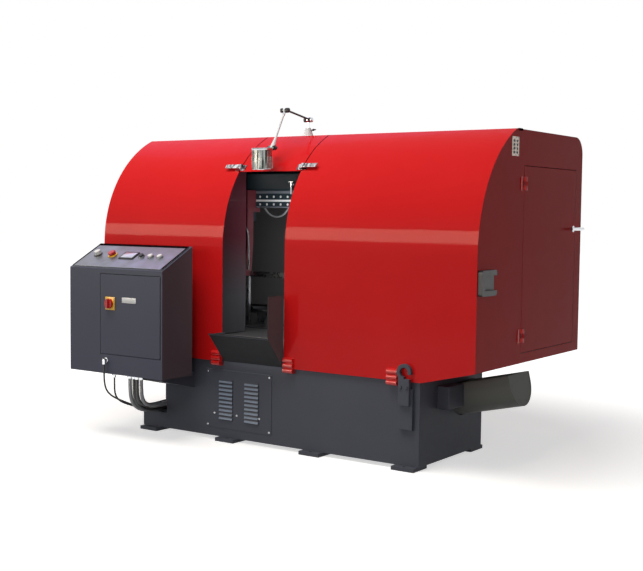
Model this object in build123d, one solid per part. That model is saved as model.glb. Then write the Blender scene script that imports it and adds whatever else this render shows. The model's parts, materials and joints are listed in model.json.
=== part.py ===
from build123d import *
import os
from math import asin, atan2, cos, radians, sin, sqrt, tan

# Double column band saw in a full guard hood. Millimetres, +Z up.
# The origin is the centre of the floor bolt pattern, on the floor.
# +X is to the right and +Y to the rear, seen from the operator's side.

# Base: a welded box on foot plates, cut away at the front left for cables
base_length = 1880.0
base_depth = 680.0
base_top = 450.0
base_wall = 10.0
foot_thickness = 20.0
foot_width = 130.0
foot_reach = 38.0
foot_inboard = 100.0
foot_hole_radius = 9.0
foot_hole_line = 710.0
outer_foot_spacing = 1730.0
inner_foot_spacing = 580.0
notch_width = 185.0
notch_depth = 190.0
sill_top = 110.0

# Service panel on the base front
panel_left = -450.0
panel_right = 15.0
panel_bottom = 70.0
panel_top = 400.0
panel_sheet = 3.0
panel_overlap = 25.0
louvre_width = 96.0
louvre_pitch = 23.0
louvre_count = 10
louvre_first = 120.0
louvre_columns = (-303.0, -121.0)
louvre_slot = 8.0
louvre_depth = 9.0
louvre_rise = 12.0

# Lifting lugs
lug_width = 82.0
lug_bottom = 207.0
lug_thickness = 20.0
lug_eye_radius = 42.0
lug_eye_hole = 23.0
lug_mouth = 24.0
lug_mouth_drop = 10.0
lug_eye_height = 499.0
rear_lug_eye_height = 395.0
lug_place = 867.0

# Work table and vice
table_left = -560.0
table_right = 340.0
table_depth = 670.0
table_top = 600.0
table_thickness = 40.0
table_web = 20.0
blade_slot_depth = 25.0
blade_slot_width = 50.0
jaw_front = 110.0
jaw_depth = 180.0
jaw_height = 160.0
jaw_thickness = 60.0
jaw_lift = 0.5
jaw_plate = 24.0
jaw_opening = 420.0
fixed_jaw_face = 90.0
vice_axis_y = 282.0
vice_axis_z = 690.0
vice_barrel_radius = 28.0
vice_barrel_length = 470.0
vice_rod_radius = 14.0
vice_rod_engagement = 460.0
vice_barrel_gap = 40.0

# Columns, lift cylinder and tie
column_left = -620.0
column_right = 400.0
column_y = 200.0
column_radius = 45.0
column_top = 1680.0
column_foot = 110.0
column_foot_thickness = 30.0
tie_thickness = 22.0
tie_margin = 75.0
sliding_clearance = 0.05
lift_x = 545.0
lift_barrel_radius = 42.0
lift_rod_radius = 25.0
lift_barrel_bottom = 160.0
lift_barrel_top = 1000.0
lift_rod_bottom = 500.0

# Hood: two end guards with a panel between them over the window
sheet = 2.5
hood_length = 2500.0
hood_front = -355.0
hood_rear = 915.0
hood_top = 1720.0
hood_arc_start = 1090.0
hood_arc_radius = 690.0
hood_rear_radius = 95.0
overhang_start = 952.0
overhang_rise = 72.0
window_left = -325.0
window_right = 105.0
window_top = 1510.0
cheek_depth = 205.0
cheek_clearance = 5.0
floor_lip = 40.0
running_gap = 3.0

# End doors
door_front = 150.0
door_rear = 830.0
door_bottom = 575.0
door_top = 1535.0
door_return = 18.0
hinge_radius = 9.0
hinge_pin_radius = 4.0
hinge_height = 70.0
hinge_inset = 90.0
hinge_leaf = 4.0
hinge_reach = 42.0
hinge_play = 0.5
handle_height = 1210.0
handle_inset = 30.0
handle_length = 165.0
handle_spindle = 9.0
handle_standoff = 26.0
handle_bar = 9.0

# Small pieces on the hood
clamp_places = (-1010.0, -361.0, 140.0, 790.0)
clamp_width = 62.0
clamp_height = 84.0
clamp_plate = 5.0
clamp_roll = 13.0
grip_front = -349.0
grip_rear = -193.0
grip_bottom = 894.0
grip_top = 1019.0
grip_depth = 26.0
latch_height = 1530.0
latch_width = 40.0
latch_plate = 4.0
latch_lever_length = 96.0
latch_pin_radius = 4.0
latch_reach = 34.0
surface_gap = 0.3

# Cabinet and console
cabinet_left = -1167.0
cabinet_right = -452.0
cabinet_front = -705.0
cabinet_rear = -463.0
cabinet_bottom = 370.0
console_front_height = 960.0
console_rear_height = 1090.0
cabinet_sheet = 3.0
cabinet_door_left = -922.0
cabinet_door_right = -470.0
cabinet_door_bottom = 482.0
cabinet_door_head = 30.0
cabinet_hinge_gap = 6.0
bracket_left = -800.0
bracket_right = -540.0
bracket_height = 90.0
bracket_tip = 25.0
bracket_reach = 280.0
pivot_inset = 8.0
pivot_relief = 1.0
pivot_radius = 4.0
pivot_reach = 12.0
pivot_lug = 18.0
console_margin = 24.0
console_plate = 6.0
switch_x = -845.0
switch_z = 767.0
switch_knob = 27.0
switch_knob_depth = 14.0
switch_spindle = 6.0
switch_plate_gap = 6.0
dial_x = -1060.0
dial_radius = 19.0
dial_height = 20.0
dial_flutes = 12
dial_flute_radius = 4.0
stop_x = -945.0
stop_radius = 22.0
stop_head = 14.0
stop_collar = 5.0
stop_travel = 5.0
button_places = {"jog_button": -720.0, "start_button": -650.0, "feed_button": -580.0}
button_radius = 15.0
button_collar = 5.0
button_proud = 5.0
button_cap = 9.0
button_travel = 4.0
button_stem = 8.0
button_length = 40.0

# Cables and conduits: routes from the cabinet to the notch in the base
gland_radius = 10.0
gland_length = 22.0
conduit_ring_radius = 13.5
cable_diameter = 10.0
cable_1_route = [(-872, -727, 425), (-872, -727, 378), (-880, -718, 328), (-896, -690, 276),
                 (-910, -638, 234), (-916, -572, 202), (-914, -505, 173), (-908, -438, 146),
                 (-903, -370, 129), (-900, -300, 122.5), (-900, -230, 121), (-900, -162, 121)]
cable_2_route = [(-838, -680, 350), (-838, -680, 306), (-846, -670, 260), (-858, -640, 222),
                 (-868, -592, 194), (-874, -534, 172), (-876, -472, 151), (-876, -408, 134),
                 (-877, -342, 125), (-878, -280, 122), (-878, -220, 121), (-878, -162, 121)]
conduit_diameter = 22.0
conduit_routes = [
    [(-736, -660, 350), (-736, -660, 296), (-746, -644, 240), (-764, -602, 190), (-788, -532, 154),
     (-814, -448, 134), (-836, -356, 127), (-850, -258, 125.5), (-850, -162, 125.5)],
    [(-708, -656, 350), (-708, -656, 296), (-718, -640, 242), (-736, -598, 193), (-760, -528, 157),
     (-785, -446, 136), (-806, -354, 128), (-819, -257, 126.5), (-819, -162, 126.5)],
    [(-680, -662, 350), (-680, -662, 300), (-692, -647, 250), (-714, -608, 210), (-744, -542, 184),
     (-776, -458, 170), (-806, -362, 163), (-834, -264, 160.5), (-834, -162, 160.5)],
    [(-652, -658, 350), (-652, -658, 300), (-662, -643, 251), (-682, -604, 212), (-710, -538, 187),
     (-740, -454, 173), (-770, -358, 166), (-800, -262, 163), (-800, -162, 163)],
]
coolant_diameter = 12.0
coolant_route = [(-455, 165, 1415), (-455, 165, 1376), (-449, 166, 1337), (-431, 166, 1300),
                 (-401, 165, 1272), (-362, 164, 1257), (-322, 163, 1258), (-286, 163, 1275),
                 (-260, 164, 1305), (-247, 165, 1341), (-241, 165, 1377), (-241, 165, 1415)]
gland_rings = [(cable_1_route, gland_radius), (cable_2_route, gland_radius)]
gland_rings += [(route, conduit_ring_radius) for route in conduit_routes]

# Work lamp: joints as (y, z) in the plane of the window's centre
lamp_base_y = 150.0
lamp_cone_wide = 34.0
lamp_cone_narrow = 15.0
lamp_cone_height = 52.0
lamp_swivel_radius = 8.0
lamp_lower_joint = (150.0, 1818.0)
lamp_elbow = (-75.0, 1855.0)
lamp_head_joint = (-189.0, 1640.0)
lamp_rod_radius = 5.5
lamp_eye_radius = 14.0
lamp_eye_half = 6.0
lamp_step = 13.0
lamp_pin_radius = 5.0
lamp_knob_radius = 13.0
lamp_head_radius = 56.0
lamp_head_length = 118.0
lamp_head_reach = 98.0
lamp_head_drop = 4.0
lamp_shell = 3.0
lamp_tilt = 5.0
lamp_vents = 5
lamp_vent_start = 16.0

# Front tray
tray_left = -310.0
tray_right = 100.0
tray_lip_front = -490.0
tray_lip_height = 615.0
tray_low = 452.0
tray_cheek_height = 840.0
tray_sheet = 4.0

# Chip conveyor out of the base's right side
trough_tilt = 13.0
trough_axis_y = 120.0
trough_axis_z = 355.0
trough_inner_radius = 118.0
trough_wall = 6.0
trough_side = 45.0
trough_pass = 80.0
trough_lift_gap = 31.0
trough_outside = 335.0
auger_radius = 74.0
auger_shaft_radius = 20.0
auger_pitch = 110.0
auger_flight = 8.0
auger_steps = 16
auger_clearance = 10.0
conveyor_box_front = -166.0
conveyor_box_rear = -8.0
conveyor_box_bottom = 295.0
conveyor_box_top = 413.0
conveyor_box_depth = 70.0
conveyor_box_edge = 4.0

# Band, wheels and saw frame
wheel_lean = 15.0
wheel_x = 860.0
wheel_radius = 280.0
band_width = 34.0
band_thickness = 1.3
band_gap = 0.3
tooth_pitch = 12.0
tooth_depth = 5.0
cut_y = 60.0
cut_height = 900.0
band_back_gap = 1.0
tooth_overhang = 2.0
wheel_flange = 6.0
wheel_flange_thickness = 7.0
wheel_shaft_radius = 25.0
head_gap = 34.0
head_plate = 22.0
beam_half_length = 1010.0
beam_front = 85.0
beam_rear = 300.0
throat_height = 515.0
beam_height = 125.0
beam_wall = 14.0
sleeve_radius = 75.0
sleeve_drop = 185.0
rail_left = -545.0
rail_right = 330.0
rail_front = 100.0
rail_thickness = 40.0
rail_height = 106.0
arm_width = 90.0
arm_front = 20.0
arm_back = 76.0
arm_lift = 8.0
left_arm_x = -495.0
right_arm_x = 150.0
guide_slot_gap = 0.5
arm_hook = 24.0
head_width = 300.0
head_drop = 120.0
head_rise = 260.0
head_tie_front = -5.0
head_tie_height = 85.0
carriage_length = 170.0
carriage_half = 70.0
way_length = 290.0
way_height = 24.0
cover_front = -118.0
cover_drop = 40.0
cover_end_gap = 20.0
wheel_rim = 26.0
wheel_web = 12.0
wheel_hub = 58.0
wheel_holes = 5
wheel_hole_radius = 48.0
twist_steps = 6
twist_start = 60.0
brush_x = 400.0
brush_radius = 34.0
brush_width = 26.0
brush_gap = 1.5
brush_pin = 6.0
brush_bracket = 12.0
brush_notches = 12

# Drive
gearbox_size = 250.0
gearbox_depth = 190.0
motor_radius = 85.0
motor_length = 270.0
motor_fin = 10.0
motor_fins = 18

# Values that follow from the ones above
base_left = -base_length / 2
base_right = base_length / 2
base_front = -base_depth / 2
base_rear = base_depth / 2
notch_right = base_left + notch_width
notch_back = base_front + notch_depth
hood_left = -hood_length / 2
hood_right = hood_length / 2
window_centre = (window_left + window_right) / 2
lean_cos = cos(radians(wheel_lean))
lean_sin = sin(radians(wheel_lean))
cut_centre_z = cut_height + band_width / 2
beam_bottom = cut_height + throat_height
beam_top = beam_bottom + beam_height
sleeve_bottom = beam_bottom - sleeve_drop
rail_bottom = beam_bottom - rail_height
arm_bottom = cut_height + arm_lift
band_line = wheel_radius + band_thickness / 2
wheel_y = cut_y - band_line * lean_sin
wheel_z = cut_centre_z + band_line * lean_cos
flange_front = -band_width / 2 - band_back_gap
wheel_back = flange_front - wheel_flange_thickness
wheel_front = band_width / 2 - tooth_depth - tooth_overhang
head_front = wheel_back - head_gap
head_back = head_front - head_plate
brush_z = cut_height - brush_radius - brush_gap
trough_inside = (base_right - lift_x - lift_barrel_radius - trough_lift_gap) / cos(radians(trough_tilt))
auger_drop = trough_inner_radius - auger_radius - auger_clearance
moving_jaw_face = fixed_jaw_face - jaw_opening
moving_jaw_back = moving_jaw_face - jaw_thickness
vice_barrel_end = moving_jaw_back - vice_barrel_gap
hinge_x = hood_right + hinge_radius
hinge_y = door_front - running_gap / 2
hinge_heights = (door_bottom + hinge_inset, door_top - hinge_inset)
console_slope = atan2(console_rear_height - console_front_height, cabinet_rear - cabinet_front)
console_run = (cabinet_rear - cabinet_front) / cos(console_slope)
console_middle = ((cabinet_left + cabinet_right) / 2, (cabinet_front + cabinet_rear) / 2,
                  (console_front_height + console_rear_height) / 2)
console_place = Plane(origin=console_middle, x_dir=(1, 0, 0),
                      z_dir=(0, -sin(console_slope), cos(console_slope)))
cabinet_width = cabinet_right - cabinet_left
cabinet_door_top = console_front_height - cabinet_door_head


def block(x0, x1, y0, y1, z0, z1):
    return Pos((x0 + x1) / 2, (y0 + y1) / 2, (z0 + z1) / 2) * Box(x1 - x0, y1 - y0, z1 - z0)


def post(x, y, z0, z1, radius):
    return Pos(x, y, (z0 + z1) / 2) * Cylinder(radius, z1 - z0)


def bar(start, end, radius):
    start = Vector(*start)
    axis = Vector(*end) - start
    place = Plane(origin=start, z_dir=axis)
    return place * Cylinder(radius, axis.length, align=(Align.CENTER, Align.CENTER, Align.MIN))


def side_prism(points, x0, x1):
    # A closed outline of (y, z) points, carried along X from x0 to x1
    outline = Plane.YZ * make_face(Polyline(*points, close=True))
    return Pos(x0, 0, 0) * extrude(outline, x1 - x0, dir=(1, 0, 0))


def front_prism(points, y0, y1):
    # A closed outline of (x, z) points, carried along Y from y0 to y1
    outline = Pos(0, y0, 0) * (Plane.XZ * make_face(Polyline(*points, close=True)))
    return extrude(outline, y1 - y0, dir=(0, 1, 0))


def mirrored(shape):
    return mirror(shape, about=Plane.YZ)


def group(shapes):
    return Compound(children=list(shapes))


def cord_tube(name, points, diameter):
    # Straight runs joined by arcs as large as the runs allow
    points = [Vector(*point) for point in points]
    radii = []
    for before, here, after in zip(points, points[1:], points[2:]):
        run = min((here - before).length, (after - here).length)
        turn = (here - before).get_angle(after - here)
        radii.append(0.45 * run / tan(radians(turn / 2)))
    path = FilletPolyline(*points, radius=radii)
    section = Plane(origin=path @ 0, z_dir=path % 0) * Circle(diameter / 2)
    tube = sweep(section, path=path)
    expected = section.area * path.length
    print(name, "length", round(path.length), "least radius", round(min(radii)),
          "volume share", round(tube.volume / expected, 4))
    return tube


# Base
def base_frame():
    low = foot_thickness
    shell = block(base_left, base_right, base_front, base_rear, low, base_top)
    inner = block(base_left + base_wall, base_right - base_wall, base_front + base_wall,
                  base_rear - base_wall, low + base_wall, base_top - base_wall)
    cut = block(base_left, notch_right, base_front, notch_back, sill_top, base_top)
    cut_lined = block(base_left, notch_right + base_wall, base_front, notch_back + base_wall,
                      sill_top - base_wall, base_top)
    shell = (shell - cut) - (inner - cut_lined)
    service = block(panel_left + panel_overlap, panel_right - panel_overlap, base_front,
                    base_front + base_wall, panel_bottom + panel_overlap, panel_top - panel_overlap)
    chip_drop = block(window_left, window_right, cut_y - blade_slot_width, cut_y + blade_slot_width,
                      base_top - base_wall, base_top)
    lift_hole = post(lift_x, column_y, base_top - base_wall, base_top,
                     lift_barrel_radius + sliding_clearance)
    way_out = trough_outline(trough_inner_radius + trough_wall + running_gap,
                             trough_side + running_gap, trough_pass, trough_pass)
    return shell - service - chip_drop - lift_hole - way_out


def foot_plates():
    plates = []
    for spacing in (outer_foot_spacing, inner_foot_spacing):
        for side in (-1, 1):
            x = side * spacing / 2
            for end in (-1, 1):
                near = end * (base_depth / 2 - foot_inboard)
                far = end * (base_depth / 2 + foot_reach)
                plate = block(x - foot_width / 2, x + foot_width / 2, min(near, far), max(near, far),
                              0, foot_thickness)
                hole = post(x, end * foot_hole_line / 2, 0, foot_thickness, foot_hole_radius)
                plates.append(plate - hole)
    return group(plates)


def service_panel():
    face = base_front - panel_sheet
    panel = block(panel_left, panel_right, face, base_front, panel_bottom, panel_top)
    for centre in louvre_columns:
        for step in range(louvre_count):
            z = louvre_first + step * louvre_pitch
            x0 = centre - louvre_width / 2
            x1 = centre + louvre_width / 2
            panel -= block(x0, x1, face, base_front, z, z + louvre_slot)
            hood_sheet = [(face, z + louvre_slot + louvre_rise), (face - louvre_depth, z),
                          (face - louvre_depth, z + panel_sheet),
                          (face, z + louvre_slot + louvre_rise + panel_sheet)]
            panel += side_prism(hood_sheet, x0, x1)
    return panel


def lifting_lugs():
    def lug(x, eye_height):
        y = base_front
        plate = block(x - lug_width / 2, x + lug_width / 2, y - lug_thickness, y,
                      lug_bottom, eye_height - 2 * lug_eye_radius)
        neck = block(x - lug_eye_radius * 0.75, x + lug_eye_radius * 0.75, y - 2 * lug_thickness,
                     y - lug_thickness, eye_height - 4 * lug_eye_radius, eye_height)
        eye = bar((x, y - 2 * lug_thickness, eye_height), (x, y - lug_thickness, eye_height),
                  lug_eye_radius)
        hole = bar((x, y - 2 * lug_thickness, eye_height), (x, y - lug_thickness, eye_height),
                   lug_eye_hole)
        mouth = block(x, x + lug_eye_radius, y - 2 * lug_thickness, y - lug_thickness,
                      eye_height - lug_mouth_drop - lug_mouth, eye_height - lug_mouth_drop)
        return plate + neck + eye - hole - mouth
    lugs = [lug(lug_place, lug_eye_height)]
    lugs += [mirror(lug(x, rear_lug_eye_height), about=Plane.XZ) for x in (-lug_place, lug_place)]
    return group(lugs)


def trough_place(distance):
    # A plane across the tilted conveyor axis, that far from the base's right side
    along = Vector(cos(radians(trough_tilt)), 0, sin(radians(trough_tilt)))
    start = Vector(base_right, trough_axis_y, trough_axis_z)
    return Plane(origin=start + along * distance, x_dir=(0, 1, 0), z_dir=along)


def trough_outline(radius, side, length_in, length_out):
    section = Circle(radius) + Pos(0, side / 2) * Rectangle(2 * radius, side)
    section -= Pos(0, side + radius) * Rectangle(4 * radius, 2 * radius)
    return extrude(trough_place(-length_in) * section, length_in + length_out)


def chip_trough():
    outer = trough_outline(trough_inner_radius + trough_wall, trough_side, trough_inside,
                           trough_outside)
    inner = trough_outline(trough_inner_radius, trough_side, trough_inside, trough_outside)
    cap_section = Circle(trough_inner_radius) - Pos(0, -auger_drop) * Circle(
        auger_shaft_radius + sliding_clearance)
    cap = extrude(trough_place(-trough_inside) * cap_section, trough_wall)
    return (outer - inner) + cap


def auger():
    length = trough_inside + trough_outside - 4 * trough_wall
    shaft = Pos(0, 0, -4 * trough_wall) * Cylinder(
        auger_shaft_radius, length + 4 * trough_wall, align=(Align.CENTER, Align.CENTER, Align.MIN))
    root = auger_shaft_radius - trough_wall
    sections = []
    for step in range(int((length - 2 * auger_flight) / auger_pitch * auger_steps) + 1):
        rise = auger_flight + auger_pitch * step / auger_steps
        upright = Plane.XZ * Rectangle(auger_radius - root, auger_flight)
        placed = Pos((root + auger_radius) / 2, 0, rise) * upright
        sections.append(Rot(0, 0, 360 * step / auger_steps) * placed)
    flight = loft(sections, ruled=True)
    return trough_place(2 * trough_wall - trough_inside) * Pos(0, -auger_drop) * (shaft + flight)


def conveyor_box():
    return fillet(block(base_right, base_right + conveyor_box_depth, conveyor_box_front,
                        conveyor_box_rear, conveyor_box_bottom, conveyor_box_top).edges(),
                  conveyor_box_edge)


# Table and vice
def work_table():
    half = table_depth / 2
    low = table_top - table_thickness
    plate = block(table_left, table_right, -half, half, low, table_top)
    slot = block(table_left, table_right, cut_y - blade_slot_width / 2, cut_y + blade_slot_width / 2,
                 table_top - blade_slot_depth, table_top)
    drop = block(window_left, window_right, cut_y - blade_slot_width / 2,
                 cut_y + blade_slot_width / 2, low, table_top)
    webs = block(table_left, table_left + table_web, -half, half, base_top, low)
    webs += block(table_right - table_web, table_right, -half, half, base_top, low)
    apron = block(table_left, table_right, -half, table_web - half, base_top, low)
    return plate + webs + apron - slot - drop


def jaw(face, direction):
    # A cast jaw block with three ribs behind its face
    back = face + direction * jaw_thickness
    rear = jaw_front + jaw_depth
    low = table_top
    plate = block(min(face, face + direction * jaw_plate), max(face, face + direction * jaw_plate),
                  jaw_front, rear, low, low + jaw_height)
    foot = block(min(face, back), max(face, back), jaw_front, rear, low, low + jaw_plate)
    jaw_body = plate + foot
    for step in range(3):
        y = jaw_front + step * (jaw_depth - jaw_plate) / 2
        rib = [(face, low), (back, low), (back, low + jaw_plate), (face, low + jaw_height)]
        jaw_body += front_prism(rib, y, y + jaw_plate)
    return jaw_body


def fixed_jaw():
    return jaw(fixed_jaw_face, 1)


def moving_jaw():
    boss = bar((moving_jaw_back, vice_axis_y, vice_axis_z), (moving_jaw_face, vice_axis_y, vice_axis_z),
               vice_rod_radius * 1.6)
    casting = Pos(0, 0, jaw_lift) * jaw(moving_jaw_face, -1) + boss
    rod = bar((moving_jaw_back - vice_rod_engagement, vice_axis_y, vice_axis_z),
              (moving_jaw_back, vice_axis_y, vice_axis_z), vice_rod_radius)
    return group([casting, rod])


def vice_cylinder():
    far = vice_barrel_end - vice_barrel_length
    barrel = bar((far, vice_axis_y, vice_axis_z), (vice_barrel_end, vice_axis_y, vice_axis_z),
                 vice_barrel_radius)
    bore = bar((far + base_wall, vice_axis_y, vice_axis_z), (vice_barrel_end, vice_axis_y, vice_axis_z),
               vice_rod_radius + sliding_clearance)
    foot = block(table_left, vice_barrel_end, vice_axis_y - vice_barrel_radius * 0.8,
                 vice_axis_y + vice_barrel_radius * 0.8, table_top, vice_axis_z)
    return barrel + foot - bore


# Columns and lift
def columns():
    half = column_foot / 2
    pair = []
    for x in (column_left, column_right):
        shaft = post(x, column_y, base_top, column_top, column_radius)
        foot = block(x - half, x + half, column_y - half, column_y + half, base_top,
                     base_top + column_foot_thickness)
        pair.append(shaft + fillet(foot.edges().filter_by(Axis.Z), column_foot_thickness / 2))
    return group(pair)


def column_tie():
    plate = block(column_left - tie_margin, column_right + tie_margin, column_y - tie_margin,
                  column_y + tie_margin, column_top, column_top + tie_thickness)
    return fillet(plate.edges().filter_by(Axis.Z), tie_margin * 0.6)


def lift_cylinder():
    barrel = post(lift_x, column_y, lift_barrel_bottom, lift_barrel_top, lift_barrel_radius)
    flange = post(lift_x, column_y, base_top, base_top + tie_thickness, lift_barrel_radius * 1.6)
    head = post(lift_x, column_y, lift_barrel_top - 2 * tie_thickness, lift_barrel_top,
                lift_barrel_radius * 1.15)
    bore = post(lift_x, column_y, lift_barrel_bottom + tie_thickness, lift_barrel_top,
                lift_rod_radius + sliding_clearance)
    return barrel + flange + head - bore


def lift_rod():
    return post(lift_x, column_y, lift_rod_bottom, beam_bottom, lift_rod_radius)


# Tray below the window
def front_tray():
    wall = tray_sheet
    back = hood_front
    floor_line = [(back, tray_low), (tray_lip_front, tray_lip_height),
                  (tray_lip_front + wall, tray_lip_height + wall), (back, tray_low + 1.6 * wall)]
    pan = side_prism(floor_line, tray_left, tray_right)
    lip = block(tray_left, tray_right, tray_lip_front, tray_lip_front + 3 * wall,
                tray_lip_height, tray_lip_height + wall)
    low_cheek = [(back, tray_low), (tray_lip_front, tray_lip_height), (back, tray_lip_height)]
    tall_cheek = [(back, tray_low), (tray_lip_front, tray_lip_height),
                  (tray_lip_front, tray_cheek_height), (back, tray_cheek_height)]
    left = side_prism(low_cheek, tray_left, tray_left + wall)
    right = side_prism(tall_cheek, tray_right - wall, tray_right)
    return pan + lip + left + right


# Hood
def hood_outline(inset, low):
    front = hood_front + inset
    rear = hood_rear - inset
    top = hood_top - inset
    centre_y = hood_front + hood_arc_radius
    radius = hood_arc_radius - inset
    turn = asin((top - hood_arc_start) / radius)
    middle = (centre_y - radius * cos(turn / 2), hood_arc_start + radius * sin(turn / 2))
    crease = (centre_y - radius * cos(turn), top)
    corner = hood_rear_radius - inset
    bulge = corner * (1 - sqrt(0.5))
    edges = [
        Line((front, low), (front, hood_arc_start)),
        ThreePointArc((front, hood_arc_start), middle, crease),
        Line(crease, (rear - corner, top)),
        ThreePointArc((rear - corner, top), (rear - bulge, top - bulge), (rear, top - corner)),
        Line((rear, top - corner), (rear, low)),
        Line((rear, low), (front, low)),
    ]
    return Plane.YZ * make_face(edges)


def hood_block(inset, low, x0, x1):
    return Pos(x0, 0, 0) * extrude(hood_outline(inset, low), x1 - x0, dir=(1, 0, 0))


def overhang_wedge(lift):
    low = base_top + lift
    points = [(overhang_start, low), (hood_right, low), (hood_right, low + overhang_rise)]
    return front_prism(points, hood_front, hood_rear)


def guard(seam):
    # Right-hand guard from its window edge to the hood's end; the left one is its mirror image
    outer = hood_block(0, base_top, seam, hood_right) - overhang_wedge(0)
    inner = hood_block(sheet, base_top + sheet, seam, hood_right - sheet) - overhang_wedge(sheet)
    shell = outer - inner
    shell -= block(seam, base_right - floor_lip, -table_depth / 2 - running_gap,
                   base_rear + running_gap, base_top, base_top + sheet)
    shell -= block(hood_right - sheet, hood_right, door_front - running_gap, door_rear + running_gap,
                   door_bottom - running_gap, door_top + running_gap)
    cheek = hood_block(0, table_top + cheek_clearance, seam, seam + sheet)
    cheek &= block(seam, seam + sheet, hood_front, hood_front + cheek_depth, base_top, hood_top)
    return shell + cheek


def centre_panel():
    shell = hood_block(0, base_top, window_left, window_right)
    shell -= hood_block(sheet, base_top, window_left, window_right)
    return shell & block(window_left, window_right, hood_front, hood_rear, window_top, hood_top)


def knuckle(side, z0, z1):
    # A hinge barrel with its web towards the frame (-1) or the door (+1)
    web_end = hinge_y + side * (hinge_radius + hinge_leaf)
    web = block(hood_right, hinge_x, min(hinge_y, web_end), max(hinge_y, web_end), z0, z1)
    return post(hinge_x, hinge_y, z0, z1, hinge_radius) + web


def hinge_leaf_plate(side, z):
    near = hinge_y + side * (hinge_radius + hinge_leaf)
    far = hinge_y + side * hinge_reach
    return block(hood_right, hood_right + hinge_leaf, min(near, far), max(near, far),
                 z - hinge_height / 2, z + hinge_height / 2)


def end_door():
    panel = block(hood_right - sheet, hood_right, door_front, door_rear, door_bottom, door_top)
    rim = block(hood_right - door_return, hood_right - sheet, door_front + door_return,
                door_rear - door_return, door_bottom + door_return, door_top - door_return)
    rim -= block(hood_right - door_return, hood_right - sheet, door_front + door_return + sheet,
                 door_rear - door_return - sheet, door_bottom + door_return + sheet,
                 door_top - door_return - sheet)
    door = panel + rim
    third = hinge_height / 6 - hinge_play
    for z in hinge_heights:
        door += knuckle(1, z - third, z + third) + hinge_leaf_plate(1, z)
        door -= post(hinge_x, hinge_y, z - third, z + third, hinge_pin_radius + sliding_clearance)
    spindle_y = door_rear - handle_inset
    return door - bar((hood_right - sheet, spindle_y, handle_height),
                      (hood_right, spindle_y, handle_height), handle_spindle + sliding_clearance)


def right_door_hinges():
    leaves = []
    for z in hinge_heights:
        low = z - hinge_height / 2
        high = z + hinge_height / 2
        leaf = hinge_leaf_plate(-1, z) + knuckle(-1, low, z - hinge_height / 6)
        leaf += knuckle(-1, z + hinge_height / 6, high)
        leaves.append(leaf + post(hinge_x, hinge_y, low, high, hinge_pin_radius))
    return leaves


def door_hinges():
    leaves = right_door_hinges()
    return group(leaves + [mirrored(leaf) for leaf in leaves])


def door_handle():
    y = door_rear - handle_inset
    out = hood_right + handle_standoff
    spindle = bar((hood_right - 2 * door_return, y, handle_height), (out, y, handle_height),
                  handle_spindle)
    rose = bar((hood_right + hinge_play, y, handle_height), (hood_right + hinge_leaf, y, handle_height),
               handle_spindle * 2)
    grip = bar((out, y - handle_length / 2, handle_height), (out, y + handle_length / 2, handle_height),
               handle_bar)
    tip = Pos(out, y + handle_length / 2, handle_height) * Sphere(handle_bar)
    return spindle + rose + grip + tip


# Small pieces on the hood
def guard_clamps():
    # Cast clamps that hold the guards down on the base, with three rounded ridges each
    clamps = []
    middle = base_top + clamp_height / 5
    for x in clamp_places:
        x0 = x - clamp_width / 2
        x1 = x + clamp_width / 2
        low = middle - clamp_height / 2
        face = hood_front - clamp_plate
        body = block(x0, x1, face, hood_front, low, low + clamp_height)
        step_back = block(x0, x1, face, base_front, low, base_top - clamp_plate)
        body += step_back
        for step in range(3):
            z = low + clamp_height * (2 * step + 1) / 6
            body += bar((x0, face, z), (x1, face, z), clamp_roll)
        body -= block(x0, x1, hood_front, hood_front + 2 * clamp_roll, base_top - clamp_plate,
                      low + clamp_height)
        body -= block(x0, x1, base_front, base_front + clamp_roll, low, base_top)
        clamps.append(body)
    return group(clamps)


def grab_handles():
    # A dished pull block on the front corner of each end wall
    pull = block(hood_right, hood_right + grip_depth, grip_front, grip_rear, grip_bottom, grip_top)
    pull = fillet(pull.edges().filter_by(Axis.X), grip_depth / 2)
    dish = block(hood_right + grip_depth / 3, hood_right + grip_depth, grip_front + grip_depth,
                 grip_rear, grip_bottom + grip_depth, grip_top - grip_depth)
    pull -= dish
    return group([pull, mirrored(pull)])


def latch_place(x):
    # A plane on the curved hood front: X along the seam, Z out of the surface
    rise = asin((latch_height - hood_arc_start) / hood_arc_radius)
    y = hood_front + hood_arc_radius * (1 - cos(rise))
    return Plane(origin=(x, y, latch_height), x_dir=(1, 0, 0), z_dir=(0, -cos(rise), sin(rise)))


def latch_plates():
    plates = []
    for x in (window_left, window_right):
        place = latch_place(x)
        plate = Pos(0, 0, surface_gap + latch_plate / 2) * Box(2 * latch_reach, latch_width, latch_plate)
        high = surface_gap + latch_plate + 2 * latch_pin_radius
        ears = []
        for side in (-1, 1):
            ears.append(Pos(0, side * latch_width * 0.4, high / 2 + latch_plate) * Box(
                5 * latch_pin_radius, latch_plate, high))
        pin = Rot(90, 0, 0) * Cylinder(latch_pin_radius, latch_width * 0.8)
        plates.append(place * (plate + ears[0] + ears[1] + Pos(0, 0, high) * pin))
    return group(plates)


def latch_lever(x, side):
    # The toggle lever lies along the seam's guard and lifts about the pin
    high = surface_gap + latch_plate + 2 * latch_pin_radius
    width = latch_width * 0.8 - latch_plate - 2 * hinge_play
    eye = Rot(90, 0, 0) * Cylinder(2 * latch_pin_radius, width)
    arm = Pos(side * latch_lever_length / 2, 0, latch_pin_radius) * Box(
        latch_lever_length, width, latch_plate)
    tip = Pos(side * latch_lever_length, 0, latch_pin_radius) * (
        Rot(90, 0, 0) * Cylinder(latch_pin_radius, width))
    bore = Rot(90, 0, 0) * Cylinder(latch_pin_radius + sliding_clearance, width)
    return latch_place(x) * (Pos(0, 0, high) * (eye + arm + tip - bore))


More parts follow.
